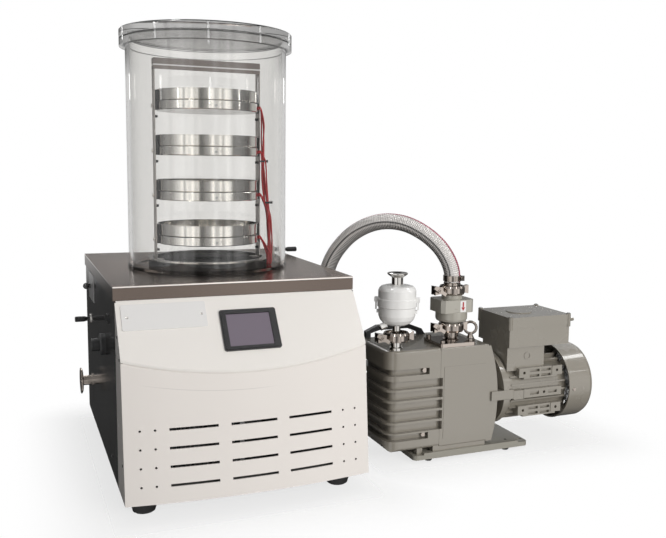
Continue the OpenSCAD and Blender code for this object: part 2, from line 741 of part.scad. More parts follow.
module case_ends() {
    // The case from before: a large round under the free end, a small one over it
    r_low = 15;
    r_top = 7;
    translate([pump_x + r_low, case_low]) square([case_l - r_low, r_low + 1]);
    translate([pump_x, case_low + r_low])
        square([case_l, case_top - case_low - r_low - r_top]);
    translate([pump_x + r_top, case_top - r_top - e]) square([case_l - r_top, r_top + e]);
    translate([pump_x + r_low, case_low + r_low]) circle(r_low);
    translate([pump_x + r_top, case_top - r_top]) circle(r_top);
}

module case_sides(r, out) {
    // The case from its end, its edges rounded by r and its front and back out by that much
    y0 = pump_y - out;
    y1 = pump_y + case_w + out;
    translate([y0 + r, case_low]) square([y1 - y0 - 2 * r, case_top - case_low]);
    translate([y0, case_low + r]) square([y1 - y0, case_top - case_low - 2 * r]);
    for (y = [y0 + r, y1 - r], z = [case_low + r, case_top - r]) translate([y, z]) circle(r);
}

module rounded_case() {
    // Three outlines meet: from above, from before and from the end
    intersection() {
        linear_extrude(case_top + 10) case_outline(0);
        translate([0, pump_y + case_w + 1, 0]) rotate([90, 0, 0]) linear_extrude(case_w + 2) case_ends();
        translate([pump_x - 1, 0, 0]) rotate([90, 0, 90]) linear_extrude(case_l + 2) case_sides(8, 0);
    }
    // the half towards the motor stands a little proud
    translate([seam_x, 0, 0]) rotate([90, 0, 90]) linear_extrude(case_end - seam_x) case_sides(4, 0.5);
}

flange_r = 330; // arch of the motor flange's edge
flange_mid = 116; // level of the arch's middle
flange_out = 25.4; // how far the arch stands out there
arm = [16, 19]; // depth and height of the arms over the joint
arm_x = motor_x0 + 24; // where the pump's arm ends and the motor's begins
seam_x = pump_x + 115; // line across the case
rib_x = pump_x + 120; // where the ribs end and the smooth half begins
groove_low = 66; // underside of the lowest groove
groove_pitch = 21.8;
module oil_case() {
    // Cast case with five deep grooves round its free end
    groove = [17, 11]; // height and depth of a groove
    color([0.62, 0.60, 0.55]) frame() difference() {
        union() {
            rounded_case();
            translate([rib_x + 3, pump_y - 1.2, 46]) cube([96, 4, 146]);
            // flange to the motor, rounded out towards its middle
            intersection() {
                translate([case_end - 0.1, pump_y + 1.5, case_low - 1])
                    cube([30, case_w - 3, case_top - case_low - 2]);
                translate([case_end + flange_out - flange_r, pump_y, flange_mid]) rotate([-90, 0, 0])
                    cylinder(r = flange_r, h = case_w, $fn = 360);
            }
            translate([0, axis_y, axis_z]) along_x(case_end) cylinder(r = 52, h = joint_x - case_end);
            // foot of the exhaust filter, with its small flange
            translate([exhaust[0], exhaust[1], 0]) rotate_extrude() polygon([
                [0, case_top - 1], [13, case_top - 1], [13, case_top + 5], [10.5, case_top + 7],
                [10.5, kf_out - 6], [kf25_r, kf_out - 2.5], [kf25_r, kf_out], [0, kf_out]
            ]);
            // skirt and foot on the base
            translate([base_x[0] + 41, pump_y + 1, 21]) cube([case_end - base_x[0] - 43, case_w - 2, 12]);
            translate([base_x[0] + 8, pump_y + 6, 17]) cube([base_tab - 8, case_w - 12, 16]);
            // arm that reaches over the joint to the motor's
            translate([case_end + 8.9, pump_y - 3, axis_z - 9])
                cube([arm_x - case_end - 9.2, arm[0] - 3.5, arm[1]]);
        }
        for (i = [0 : 4]) translate([0, 0, groove_low + groove_pitch * i]) linear_extrude(groove[0])
            difference() {
                translate([pump_x - 10, pump_y - 10]) square([rib_x - pump_x + 10, case_w + 20]);
                case_outline(groove[1]);
            }
        for (z = [bolt_z[0] - 6.5, bolt_z[1] - 6.5]) translate([0, 0, z]) linear_extrude(13) difference() {
            translate([pump_x - 10, pump_y - 10]) square([100, case_w + 20]);
            case_outline(groove[1] + 2);
        }
        // oil space
        translate([pump_x + 20, pump_y + 18, case_low + 8])
            cube([case_l - 34, case_w - 36, case_top - case_low - 20]);
        along_x(case_end - 20) translate([-axis_z, axis_y, 0]) cylinder(r = 34, h = 60);
        translate([exhaust[0], exhaust[1], case_top - 16]) cylinder(r = 5, h = 60);
        translate([inlet[0], inlet[1], case_top - 16]) cylinder(r = 10.5, h = 30);
    }
}

bolt_z = [56.5, 187]; // levels of the bolts in the case's end grooves
plate = [79, 76]; // the inlet's square flange
plate_at = inlet + [-42, -38]; // its front left corner
module pump_screws() {
    // Hex bolts in the case's end grooves, and the inlet flange's four cap screws
    color([0.78, 0.78, 0.78]) frame() {
        for (z = bolt_z) translate([rib_x - 37, pump_y + 13, z]) rotate([90, 0, 0])
            cylinder(r = 5.2, h = 6, $fn = 6);
        for (x = [8, plate[0] - 8], y = [8, plate[1] - 8])
            translate([plate_at[0] + x, plate_at[1] + y, case_top + 7]) cylinder(r = 5, h = 6, $fn = 32);
    }
}

module pump_stage() {
    // Vane pump block bolted inside the oil case, on the motor's axis
    color([0.45, 0.45, 0.44]) frame() difference() {
        translate([case_end - 110, axis_y - 40, axis_z - 40]) cube([94, 80, 80]);
        along_x(case_end - 100) translate([-axis_z, axis_y, 0]) cylinder(r = 32, h = 74);
        along_x(case_end - 120) translate([-axis_z, axis_y, 0])
            cylinder(r = 9.5 + fit, h = 120, $fn = 64);
    }
}

module pump_rotor() {
    // Slotted rotor with two vanes and its shaft out to the coupling
    color([0.50, 0.50, 0.50]) frame() translate([0, axis_y, axis_z]) {
        along_x(case_end - 108) cylinder(r = 9.5, h = 123, $fn = 64);
        along_x(case_end - 98) cylinder(r = 25, h = 70);
        for (a = [0, 180]) rotate([a, 0, 0]) translate([case_end - 98, -1.5, 24]) cube([70, 3, 6.5]);
        along_x(case_end + 11) cylinder(r = 20, h = 7);
    }
}

pad_x = [52, 134]; // the mounting pads' middles, from the drive end
pad_z = [-39, 41]; // and from the axis
module pad_row(z) {
    // Two pads with holes and the slotted bar between them
    pad = [25, 19.5];
    for (x = pad_x) translate([motor_x0 + x - pad[0] / 2, axis_y - 69, z - pad[1] / 2])
        cube([pad[0], 32, pad[1]]);
    translate([motor_x0 + pad_x[0], axis_y - 67.5, z - pad[1] / 2 - 4]) difference() {
        cube([pad_x[1] - pad_x[0], 30, pad[1] + 4]);
        for (x = [14.5, 43], k = [3, 14]) translate([x, -1, k]) cube([24, 7, 5.5]);
    }
}

module motor_body() {
    // Finned stator housing with its drive flange, terminal neck and side pads
    color([0.62, 0.60, 0.55]) frame() difference() {
        union() {
            translate([0, axis_y, axis_z]) {
                along_x(joint_x) ring(50, 34, motor_x0 - joint_x + 1);
                along_x(motor_x0) cylinder(r = 76, h = 12);
                along_x(motor_x0 + 11) cylinder(r = motor_r - 8, h = motor_x1 - motor_x0 - 11);
                along_x(motor_x0 + 11) cylinder(r = motor_r - 2, h = 12);
                for (a = [-70 : 14 : 70], s = [0, 180]) rotate([a + s, 0, 0])
                    translate([motor_x0 + 22, -motor_r, -1.6])
                        cube([motor_x1 - motor_x0 - 28, 12, 3.2]);
            }
            for (z = pad_z) pad_row(axis_z + z);
            // middle bar with its slots
            translate([arm_x + 27, axis_y - 72, axis_z - 11.5]) difference() {
                cube([93, 18, 18]);
                for (x = [15, 60]) translate([x, -1, 5.5]) cube([22, 6, 7]);
            }
            // arm that meets the pump's
            translate([arm_x, pump_y - 3, axis_z - 12]) cube([24, arm[0], arm[1]]);
            // neck that carries the terminal box, with a knock-out ring
            translate([case_end + 53, 8, axis_z + 45]) cube([91, 96, 50]);
            translate([case_end + 102, 8.5, box_low - 20]) rotate([90, 0, 0]) ring(8, 6.2, 1.6);
        }
        translate([0, axis_y, axis_z]) {
            along_x(motor_x0 + 18) cylinder(r = 41, h = motor_x1 - motor_x0 - 36);
            along_x(motor_x0 - 10) cylinder(r = 9.5 + fit, h = 200, $fn = 64);
        }
        for (x = pad_x, z = pad_z) translate([motor_x0 + x, axis_y - 60, axis_z + z])
            rotate([90, 0, 0]) cylinder(r = 3, h = 20, $fn = 32);
        translate([motor_x0 + 101, axis_y - 60, axis_z - 2.5]) rotate([90, 0, 0])
            cylinder(r = 3, h = 20, $fn = 32);
        // the pump's arm passes here
        translate([motor_x0 - 1, pump_y - 10, axis_z - 9.3])
            cube([arm_x - motor_x0 + 1, arm[0] + 3.8, arm[1] + 0.6]);
    }
}

module motor_rotor() {
    // Shaft with its rotor core, coupling half and the fan at the far end
    color([0.55, 0.55, 0.56]) frame() translate([0, axis_y, axis_z]) {
        along_x(case_end + 22) cylinder(r = 9.5, h = motor_x1 - case_end + 18, $fn = 64);
        along_x(motor_x0 + 20) cylinder(r = 40, h = motor_x1 - motor_x0 - 40);
        along_x(case_end + 18.3) cylinder(r = 20, h = 8);
        along_x(motor_x1 + 16) cylinder(r = 24, h = 24);
        for (a = [0 : 45 : 315]) rotate([a, 0, 0]) translate([motor_x1 + 19, -1.2, 20])
            cube([20, 2.4, 46]);
    }
}

module fan_cowl() {
    // Drawn cover with a rolled front edge and slits in its end
    color([0.63, 0.61, 0.57]) frame() translate([0, axis_y, axis_z]) difference() {
        union() {
            along_x(motor_x1 - 4) ring(cowl_r, cowl_r - 2, 54);
            along_x(motor_x1 - 4) ring(cowl_r + 0.8, cowl_r - 1, 3);
            along_x(cowl_x1 - 10.1) rotate_extrude() polygon([
                [20, 8], [20, 10.1], [cowl_r - 10, 10.1], [cowl_r - 3, 7], [cowl_r, 0], [cowl_r - 2, 0],
                [cowl_r - 4.5, 5.5], [cowl_r - 11, 8]
            ]);
            for (a = [45 : 90 : 315]) rotate([a, 0, 0])
                translate([motor_x1 - 3.5, -6, motor_r - 8]) cube([9, 12, cowl_r - motor_r + 7]);
        }
        for (a = [0 : 15 : 345], r = [30, 44, 58]) rotate([a, 0, 0])
            translate([cowl_x1 - 14, -2.2, r]) cube([20, 4.4, 9]);
    }
}

box_low = axis_z + 95;
module terminal_box() {
    // Box, lid with four screw lugs and a round boss, and the earth stud at its corner
    box = [148, 120, 41];
    lid = 22;
    color([0.62, 0.60, 0.56]) frame() translate([case_end + 53, 2, box_low]) {
        difference() {
            union() {
                cube(box);
                translate([-1, -1, box[2]]) rounded_plate(box[0] + 2, box[1] + 2, lid, 3);
                for (x = [2, box[0] - 2], y = [2, box[1] - 2]) translate([x, y, box[2] - 4])
                    cylinder(r = 5, h = lid + 5.5, $fn = 48);
                translate([62, 62, box[2] + lid - 0.1]) cylinder(r = 27, h = 1.6);
            }
            translate([3, 3, 3]) cube([box[0] - 6, box[1] - 6, box[2] + lid - 6]);
        }
        translate([box[0] + 0.9, 8, box[2] + 9]) rotate([0, 90, 0]) rotate_extrude($fn = 48)
            polygon([[0, 0], [5, 0], [4, 4], [3.4, 14], [0, 14]]);
    }
}

module inlet_flange() {
    // Square flange on the case with the small-flange neck
    color([0.66, 0.65, 0.62]) frame() difference() {
        union() {
            translate([plate_at[0], plate_at[1], case_top]) rounded_plate(plate[0], plate[1], 7, 4);
            translate([inlet[0], inlet[1], 0]) rotate_extrude() polygon([
                [0, case_top + 6], [16, case_top + 6], [16, case_top + 9], [13, case_top + 11],
                [13, kf_low - 6], [kf25_r, kf_low - 2.5], [kf25_r, kf_low], [0, kf_low]
            ]);
        }
        translate([inlet[0], inlet[1], case_top - 1]) cylinder(r = 10.5, h = 60);
    }
}

module inlet_trap() {
    // Dust trap: flange, cup, wide head with cut corners and the upper flange
    head = [36.5, 29.5]; // half its width and depth
    cut = 7;
    head_z = [case_top + 66, case_top + 91.5];
    color([0.64, 0.63, 0.59]) frame() translate([inlet[0], inlet[1], 0]) difference() {
        union() {
            rotate_extrude() polygon([
                [0, kf_low], [kf25_r, kf_low], [kf25_r, kf_low + 2.5], [16, kf_low + 6],
                [16, kf_low + 10.5], [25, kf_low + 11.5], [30, kf_low + 14], [32, kf_low + 18],
                [32, head_z[0] + 1], [0, head_z[0] + 1]
            ]);
            translate([0, 0, head_z[0]]) linear_extrude(head_z[1] - head_z[0]) polygon([
                [-head[0], cut - head[1]], [cut - head[0], -head[1]], [head[0] - cut, -head[1]],
                [head[0], cut - head[1]], [head[0], head[1] - cut], [head[0] - cut, head[1]],
                [cut - head[0], head[1]], [-head[0], head[1] - cut]
            ]);
            rotate_extrude() polygon([
                [0, head_z[1] - 1], [20.5, head_z[1] - 1], [20.5, kf_high - 9.2], [19, kf_high - 8.9],
                [15, kf_high - 7], [kf25_r, kf_high - 2.5], [kf25_r, kf_high], [0, kf_high]
            ]);
        }
        translate([0, 0, kf_low - 1]) cylinder(r = 10.5, h = 40);
        translate([0, 0, kf_low + 16]) cylinder(r = 26, h = head_z[1] - kf_low - 21);
        translate([0, 0, kf_high - 30]) cylinder(r = 10.5, h = 40);
    }
}

module clamp_ring() {
    // A clamp for two small flanges, its middle on z = 0: lugs and wing nut left, hinge right
    wide = 17.5;
    difference() {
        union() {
            rotate_extrude() polygon([
                [20.3, -wide / 2], [24, -wide / 2], [26, -5], [26, 5], [24, wide / 2], [20.3, wide / 2]
            ]);
            // lugs that grow wider outwards
            translate([0, 9, 0]) rotate([90, 0, 0]) linear_extrude(18) polygon([
                [-24, -5.5], [-42, -9], [-42, 9], [-24, 5.5]
            ]);
            translate([0, 4.5, 0]) rotate([90, 0, 0]) linear_extrude(9) polygon([
                [24, -5], [33, -8.5], [36, -8.5], [36, 8.5], [33, 8.5], [24, 5]
            ]);
        }
        cylinder(r = 20.3, h = 40, center = true);
        translate([-45, -1.5, -15]) cube([25, 3, 30]);
    }
    translate([-34, -19, 0]) rotate([-90, 0, 0]) cylinder(r = 2.8, h = 32, $fn = 32);
    // wing nut
    translate([-34, -17, 0]) rotate([-90, 0, 0]) cylinder(r = 5.5, h = 8.1, $fn = 32);
    translate([-34, -16, 0]) rotate([0, 32, 0]) translate([-15, 0, -3.5]) cube([30, 3, 7]);
}

module kf_clamps() {
    color([0.72, 0.71, 0.69]) frame() {
        translate([inlet[0], inlet[1], kf_low]) clamp_ring();
        translate([inlet[0], inlet[1], kf_high]) clamp_ring();
        translate([exhaust[0], exhaust[1], kf_out]) clamp_ring();
    }
}

filter_r = 35.8; // outer radius of the filter's bowl
band_z = [case_top + 85, case_top + 103]; // the band of the cap that goes over the bowl
filter_turn = -29; // the filter's clips stand turned by that much
module exhaust_filter_bowl() {
    // Lower half of the oil-mist filter with its stem and a side plug
    color([0.93, 0.93, 0.92]) frame() translate([exhaust[0], exhaust[1], 0]) difference() {
        union() {
            rotate_extrude() polygon([
                [0, kf_out], [kf25_r, kf_out], [kf25_r, kf_out + 2.5], [kf_neck, kf_out + 6],
                [kf_neck, case_top + 48.5], [20, case_top + 50.5], [27.5, case_top + 54.5],
                [33, case_top + 61], [filter_r, case_top + 69], [filter_r, band_z[0] + 5],
                [0, band_z[0] + 5]
            ]);
            translate([0, 0, case_top + 59]) rotate([0, -110, 0]) translate([0, 0, 24])
                cylinder(r = 6.5, h = 13, $fn = 48);
            for (s = [0, 180]) rotate([0, 0, s + filter_turn]) translate([33, -4, band_z[0] - 12])
                cube([clip_x - 33.3, 8, 6]);
        }
        translate([0, 0, kf_out - 1]) cylinder(r = 5, h = 60);
        translate([0, 0, case_top + 66]) cylinder(r = filter_r - 4, h = 40);
    }
}

module exhaust_filter_cap() {
    // Upper half with a band over the joint and the outlet flange
    top = case_top + 151.5; // the flange's face
    color([0.93, 0.93, 0.92]) frame() translate([exhaust[0], exhaust[1], 0]) {
        rotate_extrude() polygon([
            [filter_r + 0.3, band_z[0]], [filter_r + 2.2, band_z[0] + 1.5],
            [filter_r + 2.2, band_z[1] - 2], [filter_r + 0.8, band_z[1]], [filter_r + 0.8, case_top + 118],
            [34.6, case_top + 122], [31, case_top + 125.5], [24, case_top + 127.3],
            [kf_neck + 3, case_top + 128], [kf_neck + 3, top - 9], [19, top - 3.5], [kf25_r, top - 2],
            [kf25_r, top - 0.8], [18.5, top], [kf_neck, top], [kf_neck, case_top + 125.5],
            [22, case_top + 124.5], [29, case_top + 122.5], [32, case_top + 118], [32, band_z[0] + 5.2],
            [filter_r + 0.3, band_z[0] + 5.2]
        ]);
        // ears of the clips' hinges
        for (s = [0, 180], y = [-7.2, 5.2]) rotate([0, 0, s + filter_turn]) difference() {
            translate([filter_r + 0.6, y, hinge_z - 4]) cube([clip_x - filter_r + 4, 2, 8]);
            translate([clip_x + 0.8, y - 1, hinge_z]) rotate([-90, 0, 0])
                cylinder(r = 1.5 + fit, h = 4, $fn = 32);
        }
    }
}
clip_x = filter_r + 3.6; // inner face of a filter clip, out from the filter's axis
hinge_z = band_z[1] - 4; // and its hinge

module filter_clip() {
    // Toggle clip, hinged at its upper end
    translate([0, -5, -19]) cube([2.5, 10, 18]);
    rotate([90, 0, 0]) translate([0.8, 0, -7.1]) cylinder(r = 1.5, h = 14.2, $fn = 32);
}
module filter_ear(side) {
    translate([exhaust[0], exhaust[1], 0]) rotate([0, 0, side + filter_turn]) children();
}

module filter_clip_left() {
    color([0.88, 0.88, 0.87]) frame() filter_ear(180) translate([clip_x, 0, hinge_z]) filter_clip();
}

module filter_clip_right() {
    color([0.88, 0.88, 0.87]) frame() filter_ear(0) translate([clip_x, 0, hinge_z]) filter_clip();
}

module lifting_eye() {
    // Eye bolt on a coned collar
    color([0.55, 0.54, 0.52]) frame() translate([pump_x + 207, 41, case_top]) {
        rotate_extrude($fn = 48) polygon([[0, 0], [9.5, 0], [9.5, 3], [5, 12], [4, 16], [0, 16]]);
        translate([0, 0, 27]) rotate([90, 0, filter_turn]) rotate_extrude() translate([12, 0])
            circle(2.8, $fn = 32);
    }
}

module carrying_handle() {
    // Arched grip on two feet, across the back of the case
    span = 136;
    rise = 25;
    color([0.05, 0.05, 0.05]) frame() translate([pump_x + 12, 141, case_top])
        rotate([90, 0, 0]) linear_extrude(13) difference() {
            polygon([
                [0, 0], [0, rise * 0.55], [26, rise], [span - 40, rise], [span - 8, rise * 0.5],
                [span, 0]
            ]);
            polygon([
                [10, -1], [10, rise * 0.4], [30, rise * 0.62], [span - 42, rise * 0.62],
                [span - 16, rise * 0.2], [span - 14, -1]
            ]);
        }
}

top_plate();
fascia();
grille_panel();
left_side_panel();
right_side_panel();
back_panel();
base_pan();
console_feet();
screen_bezel();
screen_glass();
badge_plate();
badge_rivets();
power_switch_body();
power_switch_rocker();
round_connector();
vacuum_port();
drain_valve_body();
drain_valve_handle();
vent_valve_body();
vent_valve_handle();
side_knob();
power_inlet();
chamber_seals();
chamber_tube();
chamber_lid();
pot_collar();
condenser_pot();
evaporator_coil();
baffle_disc();
rack_frame();
heated_shelves();
trays();
wire_harness();
compressor();
condenser_coil();
fan_shroud();
cooling_fan();
hose_port();
vacuum_hose();
hose_adapter();
hose_clips();
pump_base();
pump_feet();
oil_case();
pump_screws();
pump_stage();
pump_rotor();
motor_body();
motor_rotor();
fan_cowl();
terminal_box();
inlet_flange();
inlet_trap();
kf_clamps();
exhaust_filter_bowl();
exhaust_filter_cap();
filter_clip_left();
filter_clip_right();
lifting_eye();
carrying_handle();
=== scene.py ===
"""Looks of a benchtop freeze dryer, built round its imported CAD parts.

The console, its clear drying chamber and the vacuum pump are CAD nodes that keep their place and get
finishes and softened edges here. The ribbed hose, the shelf wires and the small trim are modelled in this
script. Lengths are millimetres in the part's building frame, unless a docstring says otherwise, and
Frame.point turns them into metres in the row frame.
"""

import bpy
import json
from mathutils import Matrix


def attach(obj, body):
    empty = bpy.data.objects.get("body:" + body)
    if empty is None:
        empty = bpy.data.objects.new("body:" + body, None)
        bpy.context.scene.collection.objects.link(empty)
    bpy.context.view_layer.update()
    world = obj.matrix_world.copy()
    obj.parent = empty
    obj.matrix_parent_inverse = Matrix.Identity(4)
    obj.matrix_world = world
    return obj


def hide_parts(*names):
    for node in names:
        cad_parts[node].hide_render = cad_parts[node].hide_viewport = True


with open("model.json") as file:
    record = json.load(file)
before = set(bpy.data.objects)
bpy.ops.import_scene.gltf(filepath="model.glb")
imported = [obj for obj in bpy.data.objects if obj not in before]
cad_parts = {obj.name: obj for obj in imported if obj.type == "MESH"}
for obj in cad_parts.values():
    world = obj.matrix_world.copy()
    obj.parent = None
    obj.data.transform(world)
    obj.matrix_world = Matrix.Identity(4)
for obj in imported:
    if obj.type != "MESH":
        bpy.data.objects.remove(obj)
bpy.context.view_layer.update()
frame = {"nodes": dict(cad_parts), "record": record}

import json
import logging
import math
from collections.abc import Callable
from dataclasses import dataclass, field
from enum import Enum

import bmesh
import bpy
from mathutils import Matrix, Vector

Socket = bpy.types.NodeSocket
Value = Socket | float | tuple | Vector

log = logging.getLogger("freeze_dryer")
MM = 0.001
TINY = 1e-9
RIB_PITCH = 3.6


class Frame:
    """The part's building frame: millimetres from the middle of the console's front edge."""

    ORIGIN = Vector((264.5, 205.0, 0.0))

    @classmethod
    def point(cls, x: float, y: float, z: float) -> Vector:
        """A building-frame point, in millimetres, as a point of the row frame in metres."""
        return (Vector((x, y, z)) - cls.ORIGIN) * MM


class Body(Enum):
    """The CAD body that added pieces ride on."""

    MACHINE = "machine"


@dataclass(frozen=True)
class Shelves:
    """The heated shelves in the chamber, as the CAD part has them."""

    axis_y: float = 242.0
    radius: float = 99.0
    thick: float = 17.0
    lowest: float = 427.0
    apart: float = 86.0
    count: int = 4

    @property
    def levels(self) -> tuple:
        """The undersides, from the lowest shelf up."""
        return tuple(self.lowest + self.apart * i for i in range(self.count))


# ------------------------------------------------------------------ camera and lines


@dataclass(frozen=True)
class Camera:
    """The view of the machine from its front left, with angles in degrees and the reach in metres."""

    place: tuple = (-373.5, -1398.0, 589.9)
    yaw: float = 22.99
    pitch: float = -7.19
    roll: float = 0.82
    lens: float = 44.53
    shift: tuple = (-0.0328, -0.0038)
    reach: float = 60.0

    def build(self) -> bpy.types.Object:
        """Adds the camera to the scene.

        Returns:
            The camera object.
        """
        yaw, pitch, roll = (math.radians(a) for a in (self.yaw, self.pitch, self.roll))
        flat = math.cos(pitch)
        ahead = Vector((math.sin(yaw) * flat, math.cos(yaw) * flat, math.sin(pitch)))
        level = ahead.cross(Vector((0, 0, 1))).normalized()
        lift = level.cross(ahead)
        right = math.cos(roll) * level + math.sin(roll) * lift
        up = right.cross(ahead)
        data = bpy.data.cameras.new("camera")
        data.lens = self.lens
        data.shift_x, data.shift_y = self.shift
        data.clip_end = self.reach
        camera = bpy.data.objects.new("camera", data)
        turn = Matrix((right, up, -ahead)).transposed()
        camera.matrix_world = Matrix.Translation(Frame.point(*self.place)) @ turn.to_4x4()
        bpy.context.scene.collection.objects.link(camera)
        bpy.context.scene.camera = camera
        return camera


def spline(points: list, steps: int) -> list:
    """A smooth curve through points.

    Args:
        points: Vectors.
        steps: pieces that each stretch between two points is cut into.

    Returns:
        Vectors along the curve, the given ones among them.
    """
    out = []
    last = len(points) - 1
    for i in range(last):
        a, b, c, d = points[max(i - 1, 0)], points[i], points[i + 1], points[min(i + 2, last)]
        slope, bow, twist = c - a, 2 * a - 5 * b + 4 * c - d, 3 * b - a - 3 * c + d
        for k in range(steps):
            t = k / steps
            out.append(0.5 * (2 * b + slope * t + bow * t**2 + twist * t**3))
    return [*out, points[-1].copy()]


def even(points: list, step: float) -> list:
    """Points at equal distances along a line through points.

    Args:
        points: Vectors.
        step: wanted distance in metres.

    Returns:
        Vectors, the ends included.
    """
    runs = [0.0]
    for a, b in zip(points, points[1:]):
        runs.append(runs[-1] + (b - a).length)
    count = max(2, round(runs[-1] / step))
    out, j = [], 0
    for i in range(count + 1):
        s = runs[-1] * i / count
        while j < len(points) - 2 and runs[j + 1] < s:
            j += 1
        t = (s - runs[j]) / max(runs[j + 1] - runs[j], TINY)
        out.append(points[j].lerp(points[j + 1], min(t, 1.0)))
    return out


# ------------------------------------------------------------------ shapes


def to_object(name: str, mesh: bmesh.types.BMesh) -> bpy.types.Object:
    """Turns a bmesh into a linked object at the origin.

    Args:
        name: the object's name.
        mesh: the bmesh, which is freed.

    Returns:
        The new object.
    """
    data = bpy.data.meshes.new(name)
    mesh.to_mesh(data)
    mesh.free()
    made = bpy.data.objects.new(name, data)
    bpy.context.scene.collection.objects.link(made)
    return made


def tube(
    name: str,
    points: list,
    radius: float | Callable[[int, float], float],
    sides: int,
    side: Vector | None = None,
) -> bpy.types.Object:
    """A round tube along a line, with UVs: u round it, v along it in metres.

    Args:
        name: the object's name.
        points: Vectors in the row frame.
        radius: metres, or a function of the ring's number and the share of a turn that gives them.
        sides: corners of each ring.
        side: the direction from the first ring's centre to where u is 0.75.

    Returns:
        The new object.
    """
    mesh = bmesh.new()
    ahead = (points[1] - points[0]).normalized()
    side = (side or ahead.orthogonal()).normalized()
    rings, runs = [], [0.0]
    for i, p in enumerate(points):
        ahead = (points[min(i + 1, len(points) - 1)] - points[max(i - 1, 0)]).normalized()
        side = (side - ahead * side.dot(ahead)).normalized()
        turn = Matrix((side, ahead.cross(side), ahead)).transposed().to_4x4()
        first = radius(i, 0.0) if callable(radius) else radius
        made = bmesh.ops.create_circle(
            mesh, segments=sides, radius=first, matrix=Matrix.Translation(p) @ turn
        )
        if callable(radius):
            for k, vert in enumerate(made["verts"]):
                vert.co = p + (vert.co - p) * (radius(i, k / sides) / first)
        rings.append(made["verts"])
        if i:
            runs.append(runs[-1] + (p - points[i - 1]).length)
    uv = mesh.loops.layers.uv.new("UVMap")
    for i, (low, high) in enumerate(zip(rings, rings[1:])):
        for k in range(sides):
            n = (k + 1) % sides
            face = mesh.faces.new((low[k], low[n], high[n], high[k]))
            for loop, (u, v) in zip(face.loops, ((k, i), (k + 1, i), (k + 1, i + 1), (k, i + 1))):
                loop[uv].uv = (u / sides, runs[v])
            face.smooth = True
    mesh.faces.new(rings[0][::-1])
    mesh.faces.new(rings[-1])
    bmesh.ops.recalc_face_normals(mesh, faces=mesh.faces)
    return to_object(name, mesh)


def block(name: str, low: tuple, high: tuple) -> bpy.types.Object:
    """A box.

    Args:
        name: the object's name.
        low: the corner with the lowest x, y and z.
        high: the corner with the highest ones.

    Returns:
        The new object.
    """
    mesh = bmesh.new()
    a, b = Frame.point(*low), Frame.point(*high)
    scale = Matrix.Diagonal((*(b - a), 1))
    bmesh.ops.create_cube(mesh, size=1, matrix=Matrix.Translation((a + b) / 2) @ scale)
    return to_object(name, mesh)


def rod(name: str, start: tuple, end: tuple, radii: tuple, sides: int = 20) -> bpy.types.Object:
    """A tapered rod, such as a screw's head.

    Args:
        name: the object's name.
        start: centre of the first end.
        end: centre of the last end.
        radii: radius at the first and at the last end.
        sides: corners of each end.

    Returns:
        The new object.
    """
    mesh = bmesh.new()
    a, b = Frame.point(*start), Frame.point(*end)
    turn = (b - a).to_track_quat("Z", "Y").to_matrix().to_4x4()
    bmesh.ops.create_cone(
        mesh,
        cap_ends=True,
        segments=sides,
        radius1=radii[0] * MM,
        radius2=radii[1] * MM,
        depth=(b - a).length,
        matrix=Matrix.Translation((a + b) / 2) @ turn,
    )
    for face in mesh.faces:
        face.smooth = len(face.verts) == 4
    return to_object(name, mesh)


def band(
    name: str, middle: tuple, radius: float, height: float, wall: float, sides: int
) -> bpy.types.Object:
    """An upright round band, with its wall outside its circle.

    Args:
        name: the object's name.
        middle: centre of the lower edge.
        radius: of the inner side.
        height: of the band.
        wall: its thickness.
        sides: corners of the circle.

    Returns:
        The new object.
    """
    mesh = bmesh.new()
    place = Matrix.Translation(Frame.point(*middle))
    bmesh.ops.create_circle(mesh, segments=sides, radius=radius * MM, matrix=place)
    lifted = bmesh.ops.extrude_edge_only(mesh, edges=mesh.edges[:])["geom"]
    verts = [v for v in lifted if isinstance(v, bmesh.types.BMVert)]
    bmesh.ops.translate(mesh, verts=verts, vec=(0, 0, height * MM))
    made = to_object(name, mesh)
    shell = made.modifiers.new("wall", "SOLIDIFY")
    shell.thickness = wall * MM
    shell.offset = 1.0
    return made


def soften(made: bpy.types.Object, width: float) -> None:
    """Adds a small bevel to an object's sharp edges.

    Args:
        made: the object.
        width: the bevel's width in millimetres.
    """
    bevel = made.modifiers.new("soft_edges", "BEVEL")
    bevel.width = width * MM
    bevel.segments = 2
    bevel.limit_method = "ANGLE"
    bevel.angle_limit = math.radians(40)


# ------------------------------------------------------------------ shader graphs


